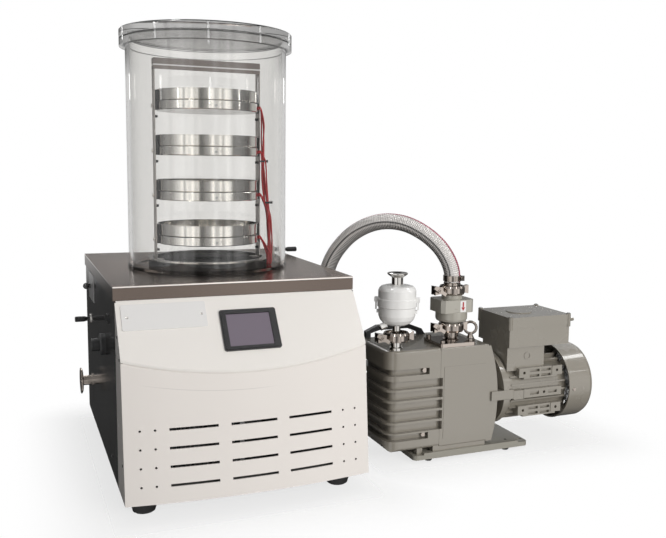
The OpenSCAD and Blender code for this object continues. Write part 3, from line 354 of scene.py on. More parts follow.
class Graph:
    """A thin wrapper that keeps the set-up of nodes short."""

    def __init__(self, tree: bpy.types.NodeTree) -> None:
        """Keeps the tree that nodes are added to."""
        self.tree = tree

    def feed(self, socket: Socket, value: Value) -> None:
        """Gives an input its value, or links it to the socket that the value comes from.

        Args:
            socket: the input.
            value: the value, or its socket.
        """
        if isinstance(value, Socket):
            self.tree.links.new(value, socket)
        else:
            socket.default_value = value

    def put(self, node: bpy.types.Node, values: dict) -> None:
        """Gives a node's inputs their values by name."""
        for label, value in values.items():
            self.feed(node.inputs[label], value)

    def add(self, kind: str, **values: Value) -> bpy.types.Node:
        """Adds a node.

        Args:
            kind: the node type, where the prefix "ShaderNode" may be left out.
            **values: node properties; inputs by name, with "_" for spaces, or by number, as in i0.

        Returns:
            The node.
        """
        node = self.tree.nodes.new(kind if kind.startswith("Node") else "ShaderNode" + kind)
        for key, value in values.items():
            if hasattr(node, key):
                setattr(node, key, value)
            else:
                numbered = key[0] == "i" and key[1:].isdigit()
                self.feed(node.inputs[int(key[1:]) if numbered else key.replace("_", " ")], value)
        return node

    def calc(self, operation: str, *values: Value) -> Socket:
        """The result of a maths node, such as MULTIPLY_ADD, first value times second plus third."""
        inputs = {f"i{n}": value for n, value in enumerate(values)}
        return self.add("Math", operation=operation, **inputs).outputs["Value"]

    def vector(self, operation: str, *values: Value) -> Socket:
        """The result of a vector maths node.

        Args:
            operation: such as DOT_PRODUCT, which gives a number, as LENGTH does.
            *values: the inputs in order.

        Returns:
            The result's socket.
        """
        inputs = {f"i{n}": value for n, value in enumerate(values)}
        result = "Value" if operation in ("DOT_PRODUCT", "LENGTH") else "Vector"
        return self.add("VectorMath", operation=operation, **inputs).outputs[result]

    def split(self, vector: Socket) -> bpy.types.bpy_prop_collection:
        """A vector's X, Y and Z."""
        return self.add("SeparateXYZ", Vector=vector).outputs

    def here(self) -> Socket:
        """The shaded point, in the object's own metres."""
        return self.add("TexCoord").outputs["Object"]

    def choose(self, factor: Value, first: Value, second: Value) -> Socket:
        """Mixes two numbers: the first where the factor is 0, the second where it is 1."""
        return self.add("Mix", data_type="FLOAT", Factor=factor, A=first, B=second).outputs["Result"]

    def blend(self, factor: Value, first: Value, second: Value, mode: str = "MIX") -> Socket:
        """Mixes two colours.

        Args:
            factor: share of the second colour.
            first: a socket, or red, green and blue.
            second: a socket, or red, green and blue.
            mode: how the second colour lies over the first.

        Returns:
            The colour's socket.
        """
        under, over = ((*c, 1.0) if isinstance(c, tuple) else c for c in (first, second))
        node = self.add("MixRGB", blend_type=mode, Fac=factor, Color1=under, Color2=over)
        return node.outputs["Color"]

    def span(
        self, value: Socket, ends: tuple, results: tuple = (0.0, 1.0), kind: str = "LINEAR"
    ) -> Socket:
        """Maps a number between two ends onto two results, and holds the results beyond the ends.

        Args:
            value: the number's socket.
            ends: the number at the first and at the second result.
            results: the two results.
            kind: LINEAR or SMOOTHSTEP.

        Returns:
            The result's socket.
        """
        node = self.add("MapRange", interpolation_type=kind, Value=value)
        self.put(node, dict(zip(("From Min", "From Max", "To Min", "To Max"), (*ends, *results))))
        return node.outputs["Result"]

    def within(self, value: Socket, low: float, high: float) -> Socket:
        """A mask of a number's values between two bounds."""
        above = self.calc("GREATER_THAN", value, low)
        return self.calc("MULTIPLY", above, self.calc("LESS_THAN", value, high))

    def looked_through(self) -> Socket:
        """A mask of the rays that come from the camera, straight or through clear pieces alone.

        Returns:
            The mask's socket.
        """
        path = self.add("LightPath").outputs
        seen = self.calc("MAXIMUM", path["Is Camera Ray"], path["Is Transmission Ray"])
        return self.calc("MULTIPLY", seen, self.calc("LESS_THAN", path["Glossy Depth"], 0.5))

    def ramp(self, value: Socket, stops: tuple) -> Socket:
        """A ramp of greys.

        Args:
            value: the place along the ramp.
            stops: (place, grey) pairs, of which a ramp holds 32.

        Returns:
            The grey's socket.
        """
        node = self.add("ValToRGB", Fac=value)
        elements = node.color_ramp.elements
        elements[0].position, elements[-1].position = stops[0][0], stops[-1][0]
        for place, _ in stops[1:-1]:
            elements.new(place)
        for element, (_, grey) in zip(elements, stops):
            element.color = (grey, grey, grey, 1)
        return node.outputs["Color"]


def group(
    name: str, inputs: dict, outputs: dict, fill: Callable[[Graph, dict], dict]
) -> bpy.types.NodeTree:
    """Makes a shader node group.

    Args:
        name: the group's name.
        inputs: socket name to (kind, default).
        outputs: socket name to kind.
        fill: called with the graph and the group's inputs; returns output name to socket.

    Returns:
        The group.
    """
    tree = bpy.data.node_groups.new(name, "ShaderNodeTree")
    for label, (kind, default) in inputs.items():
        socket = tree.interface.new_socket(label, in_out="INPUT", socket_type="NodeSocket" + kind)
        socket.default_value = default
    for label, kind in outputs.items():
        tree.interface.new_socket(label, in_out="OUTPUT", socket_type="NodeSocket" + kind)
    graph = Graph(tree)
    sources = graph.add("NodeGroupInput")
    results = graph.add("NodeGroupOutput")
    graph.put(results, fill(graph, sources.outputs))
    return tree


def fill_grain(g: Graph, inputs: dict) -> dict:
    """Fine parallel scratches along one axis of the object.

    Args:
        g: the group's graph.
        inputs: the group's inputs.

    Returns:
        The group's outputs.
    """
    scratch_share = 0.6
    stretched = g.vector("MULTIPLY", g.here(), inputs["Stretch"])
    fine = g.add("TexNoise", Vector=stretched, Scale=1.0, Detail=3.0).outputs["Fac"]
    broad = g.add("TexNoise", Vector=g.here(), Scale=6.0, Detail=2.0).outputs["Fac"]
    bump = g.add("Bump", Strength=inputs["Strength"], Distance=0.0002, Height=fine)
    rest = g.calc("MULTIPLY", broad, 1 - scratch_share)
    return {"Mask": g.calc("MULTIPLY_ADD", fine, scratch_share, rest), "Normal": bump.outputs["Normal"]}


def fill_peel(g: Graph, inputs: dict) -> dict:
    """The faint waviness of a sprayed or moulded surface, and patches of slightly other sheen.

    Args:
        g: the group's graph.
        inputs: the group's inputs.

    Returns:
        The group's outputs.
    """
    waves = g.add("TexNoise", Vector=g.here(), Scale=inputs["Scale"], Detail=2.0).outputs["Fac"]
    patches = g.add("TexNoise", Vector=g.here(), Scale=9.0, Detail=4.0).outputs["Fac"]
    bump = g.add("Bump", Strength=inputs["Strength"], Distance=0.0003, Height=waves)
    return {"Mask": patches, "Normal": bump.outputs["Normal"]}


@dataclass(frozen=True)
class Shared:
    """The shader groups that several finishes use."""

    grain: bpy.types.NodeTree
    peel: bpy.types.NodeTree

    @classmethod
    def build(cls) -> "Shared":
        """Makes the groups.

        Returns:
            Both groups.
        """
        outputs = {"Mask": "Float", "Normal": "Vector"}
        grain = {"Stretch": ("Vector", Finish.stretch), "Strength": ("Float", 0.3)}
        peel = {"Scale": ("Float", Finish.scale), "Strength": ("Float", Finish.strength)}
        return cls(
            grain=group("brush_grain", grain, outputs, fill_grain),
            peel=group("paint_peel", peel, outputs, fill_peel),
        )


# ------------------------------------------------------------------ finishes


class Sheen(Enum):
    """How a finish varies over its surface."""

    PLAIN = "plain"
    PEEL = "peel"
    GRAIN = "grain"


def parts_of(material: bpy.types.Material) -> tuple:
    """A material's graph and its Principled shader."""
    return Graph(material.node_tree), material.node_tree.nodes["Principled BSDF"]


def new_material(name: str) -> bpy.types.Material:
    """Makes a material with a Principled shader.

    Args:
        name: the material's name.

    Returns:
        The material.
    """
    material = bpy.data.materials.new(name)
    material.use_nodes = True
    return material


@dataclass(frozen=True)
class Finish:
    """One surface finish: a Principled shader with a varying sheen."""

    name: str
    colour: tuple
    rough: float = 0.4
    metal: float = 0.0
    sheen: Sheen = Sheen.PLAIN
    vary: float = 0.08
    strength: float = 0.1
    scale: float = 260.0
    stretch: tuple = (8.0, 900.0, 900.0)
    coat: float = 0.0
    coat_rough: float = 0.06
    specular: float = 0.5
    anisotropic: float = 0.0
    smoothest: float = 0.02
    mask_ends: tuple = (0.3, 0.7)

    def build(self, shared: Shared) -> bpy.types.Material:
        """Makes the material.

        Args:
            shared: the shader groups.

        Returns:
            The material.
        """
        material = new_material(self.name)
        g, shader = parts_of(material)
        values = {
            "Base Color": (*self.colour, 1.0),
            "Roughness": self.rough,
            "Metallic": self.metal,
            "Coat Weight": self.coat,
            "Coat Roughness": self.coat_rough,
            "Specular IOR Level": self.specular,
            "Anisotropic": self.anisotropic,
        }
        g.put(shader, values)
        if self.sheen is Sheen.GRAIN:
            node = g.add("Group", node_tree=shared.grain, Strength=self.strength, Stretch=self.stretch)
        elif self.sheen is Sheen.PEEL:
            node = g.add("Group", node_tree=shared.peel, Strength=self.strength, Scale=self.scale)
        else:
            return material
        ends = (max(self.rough - self.vary, self.smoothest), self.rough + self.vary)
        rough = g.span(node.outputs["Mask"], self.mask_ends, ends)
        g.put(shader, {"Roughness": rough, "Normal": node.outputs["Normal"]})
        return material


def wavy(name: str, colour: tuple, rough: float, **more: float) -> Finish:
    """A sprayed, moulded or cast surface with a faint waviness."""
    return Finish(name, colour, rough, sheen=Sheen.PEEL, **more)


def brushed(name: str, colour: tuple, rough: float, **more: float | tuple) -> Finish:
    """A bare metal with fine parallel scratches."""
    return Finish(name, colour, rough, metal=1.0, sheen=Sheen.GRAIN, **more)


@dataclass(frozen=True)
class TwoTone:
    """Two finishes on one piece, parted by its height, such as paint with a bare steel neck.

    The main finish lies inside the band of heights, the other one outside it; on the top plate the other
    one is a darker copy of the same steel, painted shade on the rim. The edge, where there is one, is a
    narrower band of heights in which the other finish has a light colour of its own: a painted highlight.
    """

    main: Finish
    other: Finish
    band: tuple
    edge: tuple | None = None
    highlight_colour: tuple = (0.9, 0.9, 0.9)

    def build(self, shared: Shared) -> bpy.types.Material:
        """Makes the material.

        Args:
            shared: the shader groups.

        Returns:
            The material.
        """
        main, other = self.main, self.other
        material = main.build(shared)
        material.name = f"{main.name}_with_{other.name}"
        g, shader = parts_of(material)
        height = g.split(g.here())["Z"]
        inside = g.within(height, *(z * MM for z in self.band))
        rest = other.colour
        # painted highlight: the edge band takes a light colour of its own
        if self.edge:
            rest = g.blend(g.within(height, *(z * MM for z in self.edge)), rest, self.highlight_colour)
        values = {
            "Base Color": g.blend(inside, rest, main.colour),
            "Metallic": g.choose(inside, other.metal, main.metal),
            "Roughness": g.choose(inside, other.rough, main.rough),
        }
        g.put(shader, values)
        return material


@dataclass(frozen=True)
class PaintedCreaseShade:
    """A painted panel with a line of painted shade where it has a faint crease across its front.

    The line is the arc z = level + slope d + bend d^2, where d = x - middle. Its shade is darkest along
    its middle and fades out between the share `full` of its reach and its reach. The crease has no shape.
    """

    main: Finish
    middle: float = -71.0
    level: float = 213.0
    slope: float = -0.0761
    bend: float = 0.000548
    half_width: float = 0.9
    reach: float = 118.0
    full: float = 0.6
    shade: float = 0.80

    def build(self, shared: Shared) -> bpy.types.Material:
        """Makes the material.

        Args:
            shared: the shader groups.

        Returns:
            The material.
        """
        material = self.main.build(shared)
        g, shader = parts_of(material)
        place = g.add("VectorMath", operation="SCALE", i0=g.here(), Scale=1 / MM).outputs["Vector"]
        spot = g.split(g.vector("ADD", place, Frame.ORIGIN))
        along = g.calc("ADD", spot["X"], -self.middle)
        bow = g.calc("MULTIPLY_ADD", along, self.bend, self.slope)
        line = g.calc("MULTIPLY_ADD", bow, along, self.level)
        off = g.calc("ABSOLUTE", g.calc("SUBTRACT", spot["Z"], line))
        near = g.span(off, (self.half_width, 0.0))
        ends = g.span(g.calc("ABSOLUTE", along), (self.reach, self.full * self.reach))
        # painted shade: the panel's colour darkened along the crease line
        dark = tuple(self.shade * c for c in self.main.colour)
        tone = g.blend(g.calc("MULTIPLY", near, ends), self.main.colour, dark)
        g.put(shader, {"Base Color": tone})
        return material


@dataclass(frozen=True)
class Acrylic:
    """Clear acrylic: it refracts what the eye sees and lets light through to what stands inside."""

    name: str
    tint: tuple
    rough: float = 0.0
    ior: float = 1.49

    def build(self, _shared: Shared) -> bpy.types.Material:
        """Makes the material, whose shadow is half as deep in colour as its tint.

        Args:
            _shared: the shader groups, which it has no need of.

        Returns:
            The material.
        """
        material = new_material(self.name)
        g, shader = parts_of(material)
        values = {"Roughness": self.rough, "IOR": self.ior, "Transmission Weight": 1.0}
        g.put(shader, {"Base Color": (*self.tint, 1.0), **values})
        clear = g.add("BsdfTransparent", Color=(*((1 + c) / 2 for c in self.tint), 1.0))
        shadow = g.add("LightPath").outputs["Is Shadow Ray"]
        mix = g.add("MixShader", i0=shadow, i1=shader.outputs[0], i2=clear.outputs[0])
        g.put(material.node_tree.nodes["Material Output"], {"Surface": mix.outputs[0]})
        return material


@dataclass(frozen=True)
class HosePlastic:
    """Clear grey PVC over a steel spiral, with painted reflection: pale on the outer side of its bend,
    dark on the inner one, and a painted highlight beside the dark line along its middle.

    A printed stripe runs along its outer edge. Wire gives (share of the way between two turns of the
    spiral, share of steel seen there). Gap and rib give the greys between the turns and on them, painted
    reflection and highlight included, as `across` takes them: on the inner side, in the dark line along
    the middle, in the painted highlight beside it, on the outer side.
    """

    name: str = "hose_ribbed"
    wire: tuple = ((0.0, 1.0), (0.2, 0.75), (0.34, 0.0), (0.5, 0.0))
    gap: tuple = (0.07, 0.02, 0.62, 0.58)
    rib: tuple = (0.60, 0.05, 0.88, 0.84)
    warmth: tuple = (1.0, 0.965, 0.94)
    stripe: tuple = (0.440, 0.450)
    stripe_colour: tuple = (0.34, 0.06, 0.10)
    rough: float = 0.36
    metal: float = 0.2
    coat: float = 0.3
    coat_rough: float = 0.3

    def build(self, _shared: Shared) -> bpy.types.Material:
        """Makes the material.

        Args:
            _shared: the shader groups, which it has no need of.

        Returns:
            The material.
        """
        material = new_material(self.name)
        g, shader = parts_of(material)
        uv = g.split(g.add("UVMap").outputs["UV"])
        turns = g.calc("SUBTRACT", g.calc("MULTIPLY", uv["Y"], 1 / (RIB_PITCH * MM)), uv["X"])
        steel = g.ramp(g.calc("PINGPONG", turns, 0.5), self.wire)
        outward = g.calc("PINGPONG", uv["X"], 0.5)
        # the gap and rib greys carry the painted reflection and painted highlight across the hose
        gap, rib = (g.ramp(outward, self.across(*greys)) for greys in (self.gap, self.rib))
        base = g.blend(1.0, g.blend(steel, gap, rib), self.warmth, "MULTIPLY")
        first, last = self.stripe
        stripe = g.ramp(outward, ((0.0, 0.0), (first, 0.0), (last, 1.0), (0.5, 1.0)))
        tone = g.blend(stripe, base, self.stripe_colour)
        values = {
            "Base Color": tone,
            "Roughness": self.rough,
            "Metallic": self.metal,
            "Coat Weight": self.coat,
            "Coat Roughness": self.coat_rough,
        }
        g.put(shader, values)
        return material

    @staticmethod
    def across(inner: float, line: float, painted_highlight: float, outer: float) -> tuple:
        """Grey levels across the hose, with its painted reflection and painted highlight.

        Args:
            inner: level on the inner side of the bend, darkened by painted reflection.
            line: level of the dark line along the middle.
            painted_highlight: level of the painted highlight beside it.
            outer: level on the outer side, paled by painted reflection.

        Returns:
            Stops for a ramp over half a turn, from the inner edge at 0 to the outer one at 0.5.
        """
        # painted reflection darkens the inner side and pales the outer one; the light stop beside the
        # dark line is a painted highlight
        dark = ((0.0, 0.45 * inner), (0.08, 0.9 * inner), (0.18, 1.3 * inner))
        middle = ((0.212, painted_highlight), (0.236, 0.8 * inner), (0.246, line), (0.256, line))
        return (*dark, *middle, (0.272, outer), (0.42, outer), (0.5, 0.8 * outer))


TURNED = {"vary": 0.04, "strength": 0.12, "stretch": (60.0, 60.0, 900.0)}
SPRAYED = {"vary": 0.06, "strength": 0.08, "scale": 420.0}
MOULDED = {"vary": 0.06, "strength": 0.12, "scale": 900.0}
BAKED = {"vary": 0.05, "strength": 0.05, "coat": 0.15}
STEEL = brushed("steel_polished", (0.62, 0.60, 0.57), 0.10, **TURNED)
PLATE_TOP = brushed("plate_top", (0.45, 0.365, 0.315), 0.20, vary=0.03, strength=0.06, anisotropic=0.4)
# painted shade: the top plate's rim is the same steel as its top, given a darker colour
SHADED_PLATE_RIM = Finish("plate_rim_painted_shade", (0.175, 0.14, 0.12), 0.20, metal=1.0)
RACK_STEEL = Finish("rack_steel", (0.50, 0.47, 0.45), 0.38, metal=1.0)
RACK_BAR = Finish("rack_bar", (0.30, 0.265, 0.25), 0.38, metal=1.0)
PUMP_PAINT = wavy("pump_paint", (0.262, 0.240, 0.202), 0.27, coat=0.9, **SPRAYED)
WHITE_PLASTIC = Finish("white_plastic", (0.86, 0.855, 0.845), 0.24, coat=0.4)
FINISHES = {
    # the plate's rim is a darker copy of its steel as painted shade, with a painted highlight along its
    # top edge; the rack bar's edge band is a painted highlight too
    "steel_brushed": TwoTone(PLATE_TOP, SHADED_PLATE_RIM, (379.4, 400), (377.4, 379.4), (0.95, 0.90, 0.86)),
    "rack_steel": TwoTone(RACK_STEEL, RACK_BAR, (0, 761), (769, 771.5)),
    "trap_paint": wavy("trap_paint", (0.39, 0.372, 0.325), 0.3, coat=0.7, **SPRAYED),
    "base_paint": wavy("base_paint", (0.290, 0.276, 0.235), 0.32, coat=0.5, **SPRAYED),
    "white_paint": wavy("white_paint", (0.83, 0.800, 0.768), 0.36, **BAKED),
    # painted shade along a crease line on the grille panel
    "panel_paint": PaintedCreaseShade(wavy("panel_paint", (0.81, 0.768, 0.735), 0.36, **BAKED)),
    "dark_gloss": wavy("dark_gloss_panel", (0.014, 0.012, 0.010), 0.14, vary=0.05, strength=0.04),
    "chassis_steel": wavy("chassis_steel", (0.07, 0.068, 0.065), 0.5),
    "black_rubber": wavy("black_rubber", (0.018, 0.018, 0.018), 0.62, strength=0.2, scale=700.0),
    "pot_rubber": wavy("pot_rubber", (0.01, 0.01, 0.01), 0.5, specular=0.04),
    "black_plastic": wavy("black_plastic", (0.016, 0.016, 0.017), 0.38, **MOULDED),
    "display_glass": Finish("display_glass", (0.16, 0.13, 0.17), 0.12, coat=1.0),
    "badge": wavy("badge_plate", (0.79, 0.78, 0.775), 0.22, vary=0.04, strength=0.03, coat=0.5),
    "steel_bright": STEEL,
    "steel_tray": brushed("steel_tray", (0.90, 0.88, 0.84), 0.10, **TURNED),
    "steel_dark": wavy("steel_cast", (0.37, 0.325, 0.29), 0.09, metal=1.0, vary=0.04, scale=500.0),
    "black_gloss": Finish("black_gloss", (0.012, 0.012, 0.012), 0.14, coat=0.5),
    "copper": wavy("copper_tube", (0.70, 0.35, 0.22), 0.28, metal=1.0, vary=0.1),
    "red_wire": Finish("red_wire", (0.42, 0.015, 0.02), 0.38),
    "black_paint": wavy("compressor_black", (0.015, 0.015, 0.015), 0.35),
    "aluminium_fins": Finish("aluminium_fins", (0.62, 0.62, 0.62), 0.35, metal=1.0),
    "pump_paint": PUMP_PAINT,
    "cast_iron": wavy("cast_iron", (0.10, 0.10, 0.10), 0.55, metal=0.8),
    "machined_steel": brushed("machined_steel", (0.50, 0.50, 0.50), 0.28),
    "white_plastic": WHITE_PLASTIC,
    "exhaust_neck": TwoTone(WHITE_PLASTIC, STEEL, (278, 358)),
    "case_with_foot": TwoTone(PUMP_PAINT, STEEL, (0, 230.4)),
    "acrylic": Acrylic("clear_acrylic", (0.86, 0.853, 0.838)),
    "silicone": Acrylic("clear_seal", (0.84, 0.835, 0.825), 0.08),
    "hose_pvc": HosePlastic(),
}
STEEL_FITTINGS = (
    "kf_clamps",
    "inlet_flange",
    "vacuum_port",
    "hose_adapter",
    "hose_clips",
    "lifting_eye",
    "pump_screws",
)
OTHER_FINISHES = {
    "grille_panel": "panel_paint",
    "rack_frame": "rack_steel",
    "trays": "steel_tray",
    "heated_shelves": "steel_tray",
    "pump_base": "base_paint",
    "inlet_trap": "trap_paint",
    "chamber_seals": "silicone",
    "baffle_disc": "pot_rubber",
    "pot_collar": "pot_rubber",
    "exhaust_filter_bowl": "exhaust_neck",
    "exhaust_filter_cap": "exhaust_neck",
    "oil_case": "case_with_foot",
    **dict.fromkeys(STEEL_FITTINGS, "steel_dark"),
}


# ------------------------------------------------------------------ pieces


@dataclass
class Kit:
    """What every sub-assembly needs to dress its pieces."""

    materials: dict

    def place(
        self, made: bpy.types.Object, material: str, slot: str | None = None, body: Body = Body.MACHINE
    ) -> None:
        """Gives a piece its finish and the body that it rides on, and reports it.

        Args:
            made: the piece.
            material: a key of the finishes.
            slot: the record's slot, where it isn't the same; not used.
            body: its CAD body.
        """
        made.data.materials.append(self.materials[material])
        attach(made, body.value)
        log.info("made %s in %s", made.name, material)


@dataclass
class Hose:
    """The vacuum hose: a tube with helical ribs on the CAD hose's route.

    `facing` is the way from its first end's centre to the middle of the side that faces the viewer,
    between the inner side of the bend and the outer one; the hose's painted reflection and highlight are
    laid out from it.
    """

    kit: Kit
    diameter: float = 33.0
    pitch: float = RIB_PITCH
    rings: int = 5
    sides: int = 40
    depth: float = 0.03
    fullness: float = 0.7
    steps: int = 12
    facing: tuple = (-1, -1, 0)
    route: tuple = (
        (250, 235, 284), (250, 235, 320), (252, 232, 350), (259, 224, 382), (272, 210, 412),
        (292, 189, 441), (318, 162, 462), (346, 134, 471), (376, 105, 467), (404, 78, 450),
        (426, 56, 426), (440, 43, 400), (447, 37, 376), (448, 36, 354),
    )

    def rib(self, ring: int, turn: float) -> float:
        """The radius in metres at a ring and a share of a turn; it swells along a helix."""
        wave = 0.5 + 0.5 * math.cos(math.tau * (ring / self.rings - turn))
        return self.diameter / 2 * MM * (1 - self.depth * (1 - wave**self.fullness))

    def build(self) -> None:
        line = spline([Frame.point(*p) for p in self.route], self.steps)
        centre = even(line, self.pitch * MM / self.rings)
        hose = tube("hose_ribbed", centre, self.rib, self.sides, Vector(self.facing))
        self.kit.place(hose, "hose_pvc")
        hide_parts("vacuum_hose")


@dataclass
class ShelfWires:
    """Red wires from the shelves, gathered in one bundle beside the rack, and the two ties that hold it.

    The spine is the bundle's middle line and ties are (x, z, radius) on it, both from the chamber's
    axis. A wire leaves its shelf at `start` from the middle of the shelf's height, and each next one a
    `next_start` further. It runs out along `stub`, rising `fan` more than the one before, and joins the
    bundle `join` below its shelf. Round the spine the wires stand on a spiral of `turn` radians a wire,
    from the radius `core` to the radius `core + spread`, and weave by `weave` in a wave of `wave`
    millimetres and `lag` radians a wire.
    """

    kit: Kit
    shelves: Shelves = Shelves()
    per_shelf: int = 3
    radius: float = 1.5
    sides: int = 8
    steps: int = 6
    ring_gap: float = 6.0
    start: tuple = (96.2, -25.2, -1.5)
    next_start: tuple = (0.0, 0.9, 1.4)
    stub: tuple = (6.0, -1.5, 0.0)
    fan: float = 0.5
    join: float = 12.0
    turn: float = 2.4
    core: float = 0.9
    spread: float = 5.4
    weave: float = 0.9
    wave: float = 23.0
    lag: float = 1.7
    spine: tuple = (
        (106, -28, 685), (107, -26, 664), (107.5, -24, 630), (108.5, -22, 590), (111, -20, 555),
        (115, -20, 520), (119, -20, 488), (122, -20, 455), (123.5, -20, 425), (122, -20, 400),
        (120, -20, 380.6),
    )
    ties: tuple = ((108.5, 588, 5.2), (117.0, 505, 7.0))
    tie_y: float = -21.0
    tie_height: float = 3.4
    tie_sides: int = 28
    tie_wall: float = 1.0
    head_sunk: float = 0.4
    head_length: float = 5.0
    head_half: float = 3.0
    head_rim: float = 0.8

    def build(self) -> None:
        """Makes the wires, from the highest shelf down, and the ties."""
        for shelf, low in enumerate(reversed(self.shelves.levels)):
            for k in range(self.per_shelf):
                level = low + self.shelves.thick / 2
                self.wire(f"shelf_wire_{shelf}_{k}", level, shelf * self.per_shelf + k)
        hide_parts("wire_harness")
        for i, (x, z, r) in enumerate(self.ties):
            self.tie(i, x, z, r)

    def wire(self, name: str, level: float, number: int) -> bpy.types.Object:
        """One wire, from the side of a shelf into the bundle and down to the plate.

        Args:
            name: the piece's name.
            level: the middle of the shelf's height.
            number: its place in the bundle.

        Returns:
            The wire.
        """
        reach = self.core + self.spread * math.sqrt(number / (self.per_shelf * self.shelves.count))
        angle = number * self.turn
        off = Vector((reach * math.cos(angle), reach * math.sin(angle), 0))
        k = number % self.per_shelf
        start = Vector((0, 0, level)) + Vector(self.start) + k * Vector(self.next_start)
        line = [start, start + Vector(self.stub) + Vector((0, 0, self.fan * k))]
        for p in self.spine:
            if p[2] < level - self.join:
                weave = self.weave * math.sin(p[2] / self.wave + number * self.lag)
                line.append(Vector(p) + off + Vector((weave, -weave, 0)))
        line[-1].z = self.spine[-1][2]
        places = [Frame.point(q.x, q.y + self.shelves.axis_y, q.z) for q in line]
        centre = even(spline(places, self.steps), self.ring_gap * MM)
        made = tube(name, centre, self.radius * MM, self.sides)
        self.kit.place(made, "red_wire")
        return made

    def tie(self, number: int, x: float, z: float, r: float) -> None:
        """A black cable tie round the bundle, with its head to the right.

        Args:
            number: the tie's.
            x: of its middle.
            z: of its lower edge.
            r: its inner radius.
        """
        y = self.shelves.axis_y + self.tie_y
        name, foot = f"cable_tie_{number}", (x, y, z)
        strap = band(name, foot, r, self.tie_height, self.tie_wall, self.tie_sides)
        self.kit.place(strap, "black_plastic")
        low = (x + r - self.head_sunk, y - self.head_half, z - self.head_rim)
        high = (x + r + self.head_length, y + self.head_half, z + self.tie_height + self.head_rim)
        head = block(f"cable_tie_head_{number}", low, high)
        soften(head, self.head_rim)
        self.kit.place(head, "black_plastic")


@dataclass
class RackTrim:
    """Black spacers beside the shelves, the gaskets under the trays and the rack's small screws.

    x and y are from the chamber's axis, but front_y from the shelf's front. z is from a shelf's
    underside, but gasket_z from the joint between shelf and tray. A pair gives a piece's two ends.
    """

    kit: Kit
    shelves: Shelves = Shelves()
    spacer_x: tuple = (98.8, 102.9)
    spacer_half: float = 9.0
    spacer_z: tuple = (0.5, 38.0)
    screw_x: tuple = (103.4, 97.5)
    screw_y: float = -4.0
    screw_z: float = -12.0
    screw_radii: tuple = (2.9, 2.4)
    screw_sides: int = 16
    front_x: float = -6.0
    front_y: tuple = (0.8, -1.4)
    front_z: float = 7.0
    front_radii: tuple = (2.6, 2.3)
    gasket_gap: float = 0.05
    gasket_z: float = -0.5
    gasket_height: float = 1.1
    gasket_wall: float = 0.3
    gasket_sides: int = 96

    def build(self) -> None:
        """Makes the trim of all four shelves."""
        for i, z in enumerate(self.shelves.levels):
            for side in (-1, 1):
                self.post(i, side, z)
            self.gasket(i, z + self.shelves.thick)
            front = self.shelves.axis_y - self.shelves.radius
            ends = ((self.front_x, front + y, z + self.front_z) for y in self.front_y)
            head = rod(f"shelf_screw_{i}", *ends, self.front_radii)
            self.kit.place(head, "machined_steel")

    def post(self, number: int, side: int, z: float) -> None:
        """The spacer between a shelf and one upright of the rack, and the screw below it.

        Args:
            number: the shelf's.
            side: -1 on the left, 1 on the right.
            z: the shelf's underside.
        """
        y = self.shelves.axis_y
        (low, high), (near, far) = sorted(side * x for x in self.spacer_x), self.spacer_z
        spacer = block(
            f"shelf_spacer_{number}_{side + 1}",
            (low, y - self.spacer_half, z + near),
            (high, y + self.spacer_half, z + far),
        )
        self.kit.place(spacer, "black_plastic")
        ends = ((side * x, y + self.screw_y, z + self.screw_z) for x in self.screw_x)
        screw = rod(f"rack_screw_{number}_{side + 1}", *ends, self.screw_radii, self.screw_sides)
        self.kit.place(screw, "black_plastic")

    def gasket(self, number: int, z: float) -> None:
        """A thin black ring in the joint between a shelf and its tray.

        Args:
            number: the shelf's.
            z: level of the joint.
        """
        middle = (0, self.shelves.axis_y, z + self.gasket_z)
        radius = self.shelves.radius + self.gasket_gap
        name, height, wall = f"tray_gasket_{number}", self.gasket_height, self.gasket_wall
        seal = band(name, middle, radius, height, wall, self.gasket_sides)
        self.kit.place(seal, "black_rubber")


@dataclass
class ConsoleTrim:
    """Small things on the console: a bare label plate, and screws in the white cheeks and a side panel.

    Screws are (y, z) on a side; head gives how far they are sunk in it and how far they stand out.
    """

    kit: Kit
    side_x: float = 214.0
    plate: tuple = ((-0.8, 345, 296), (0.1, 440, 352))
    cheek_screws: tuple = ((-28, 300), (-55, 268), (-70, 96))
    low_screw: tuple = (83, 60)
    head: tuple = (0.4, 0.9)
    radii: tuple = (2.6, 2.2)

    def build(self) -> None:
        """Makes the trim."""
        corners = ((x - self.side_x, y, z) for x, y, z in self.plate)
        self.kit.place(block("side_label", *corners), "badge")
        for i, spot in enumerate(self.cheek_screws):
            for side in (-1, 1):
                self.screw(f"cheek_screw_{i}_{side + 1}", side, *spot)
        self.screw("side_screw_low", -1, *self.low_screw)

    def screw(self, name: str, side: int, y: float, z: float) -> None:
        """A flat dark screw head on a side.

        Args:
            name: the piece's name.
            side: -1 on the left, 1 on the right.
            y, z: its place.
        """
        sunk, out = self.head
        ends = ((side * (self.side_x + x), y, z) for x in (-sunk, out))
        self.kit.place(rod(name, *ends, self.radii), "black_plastic")


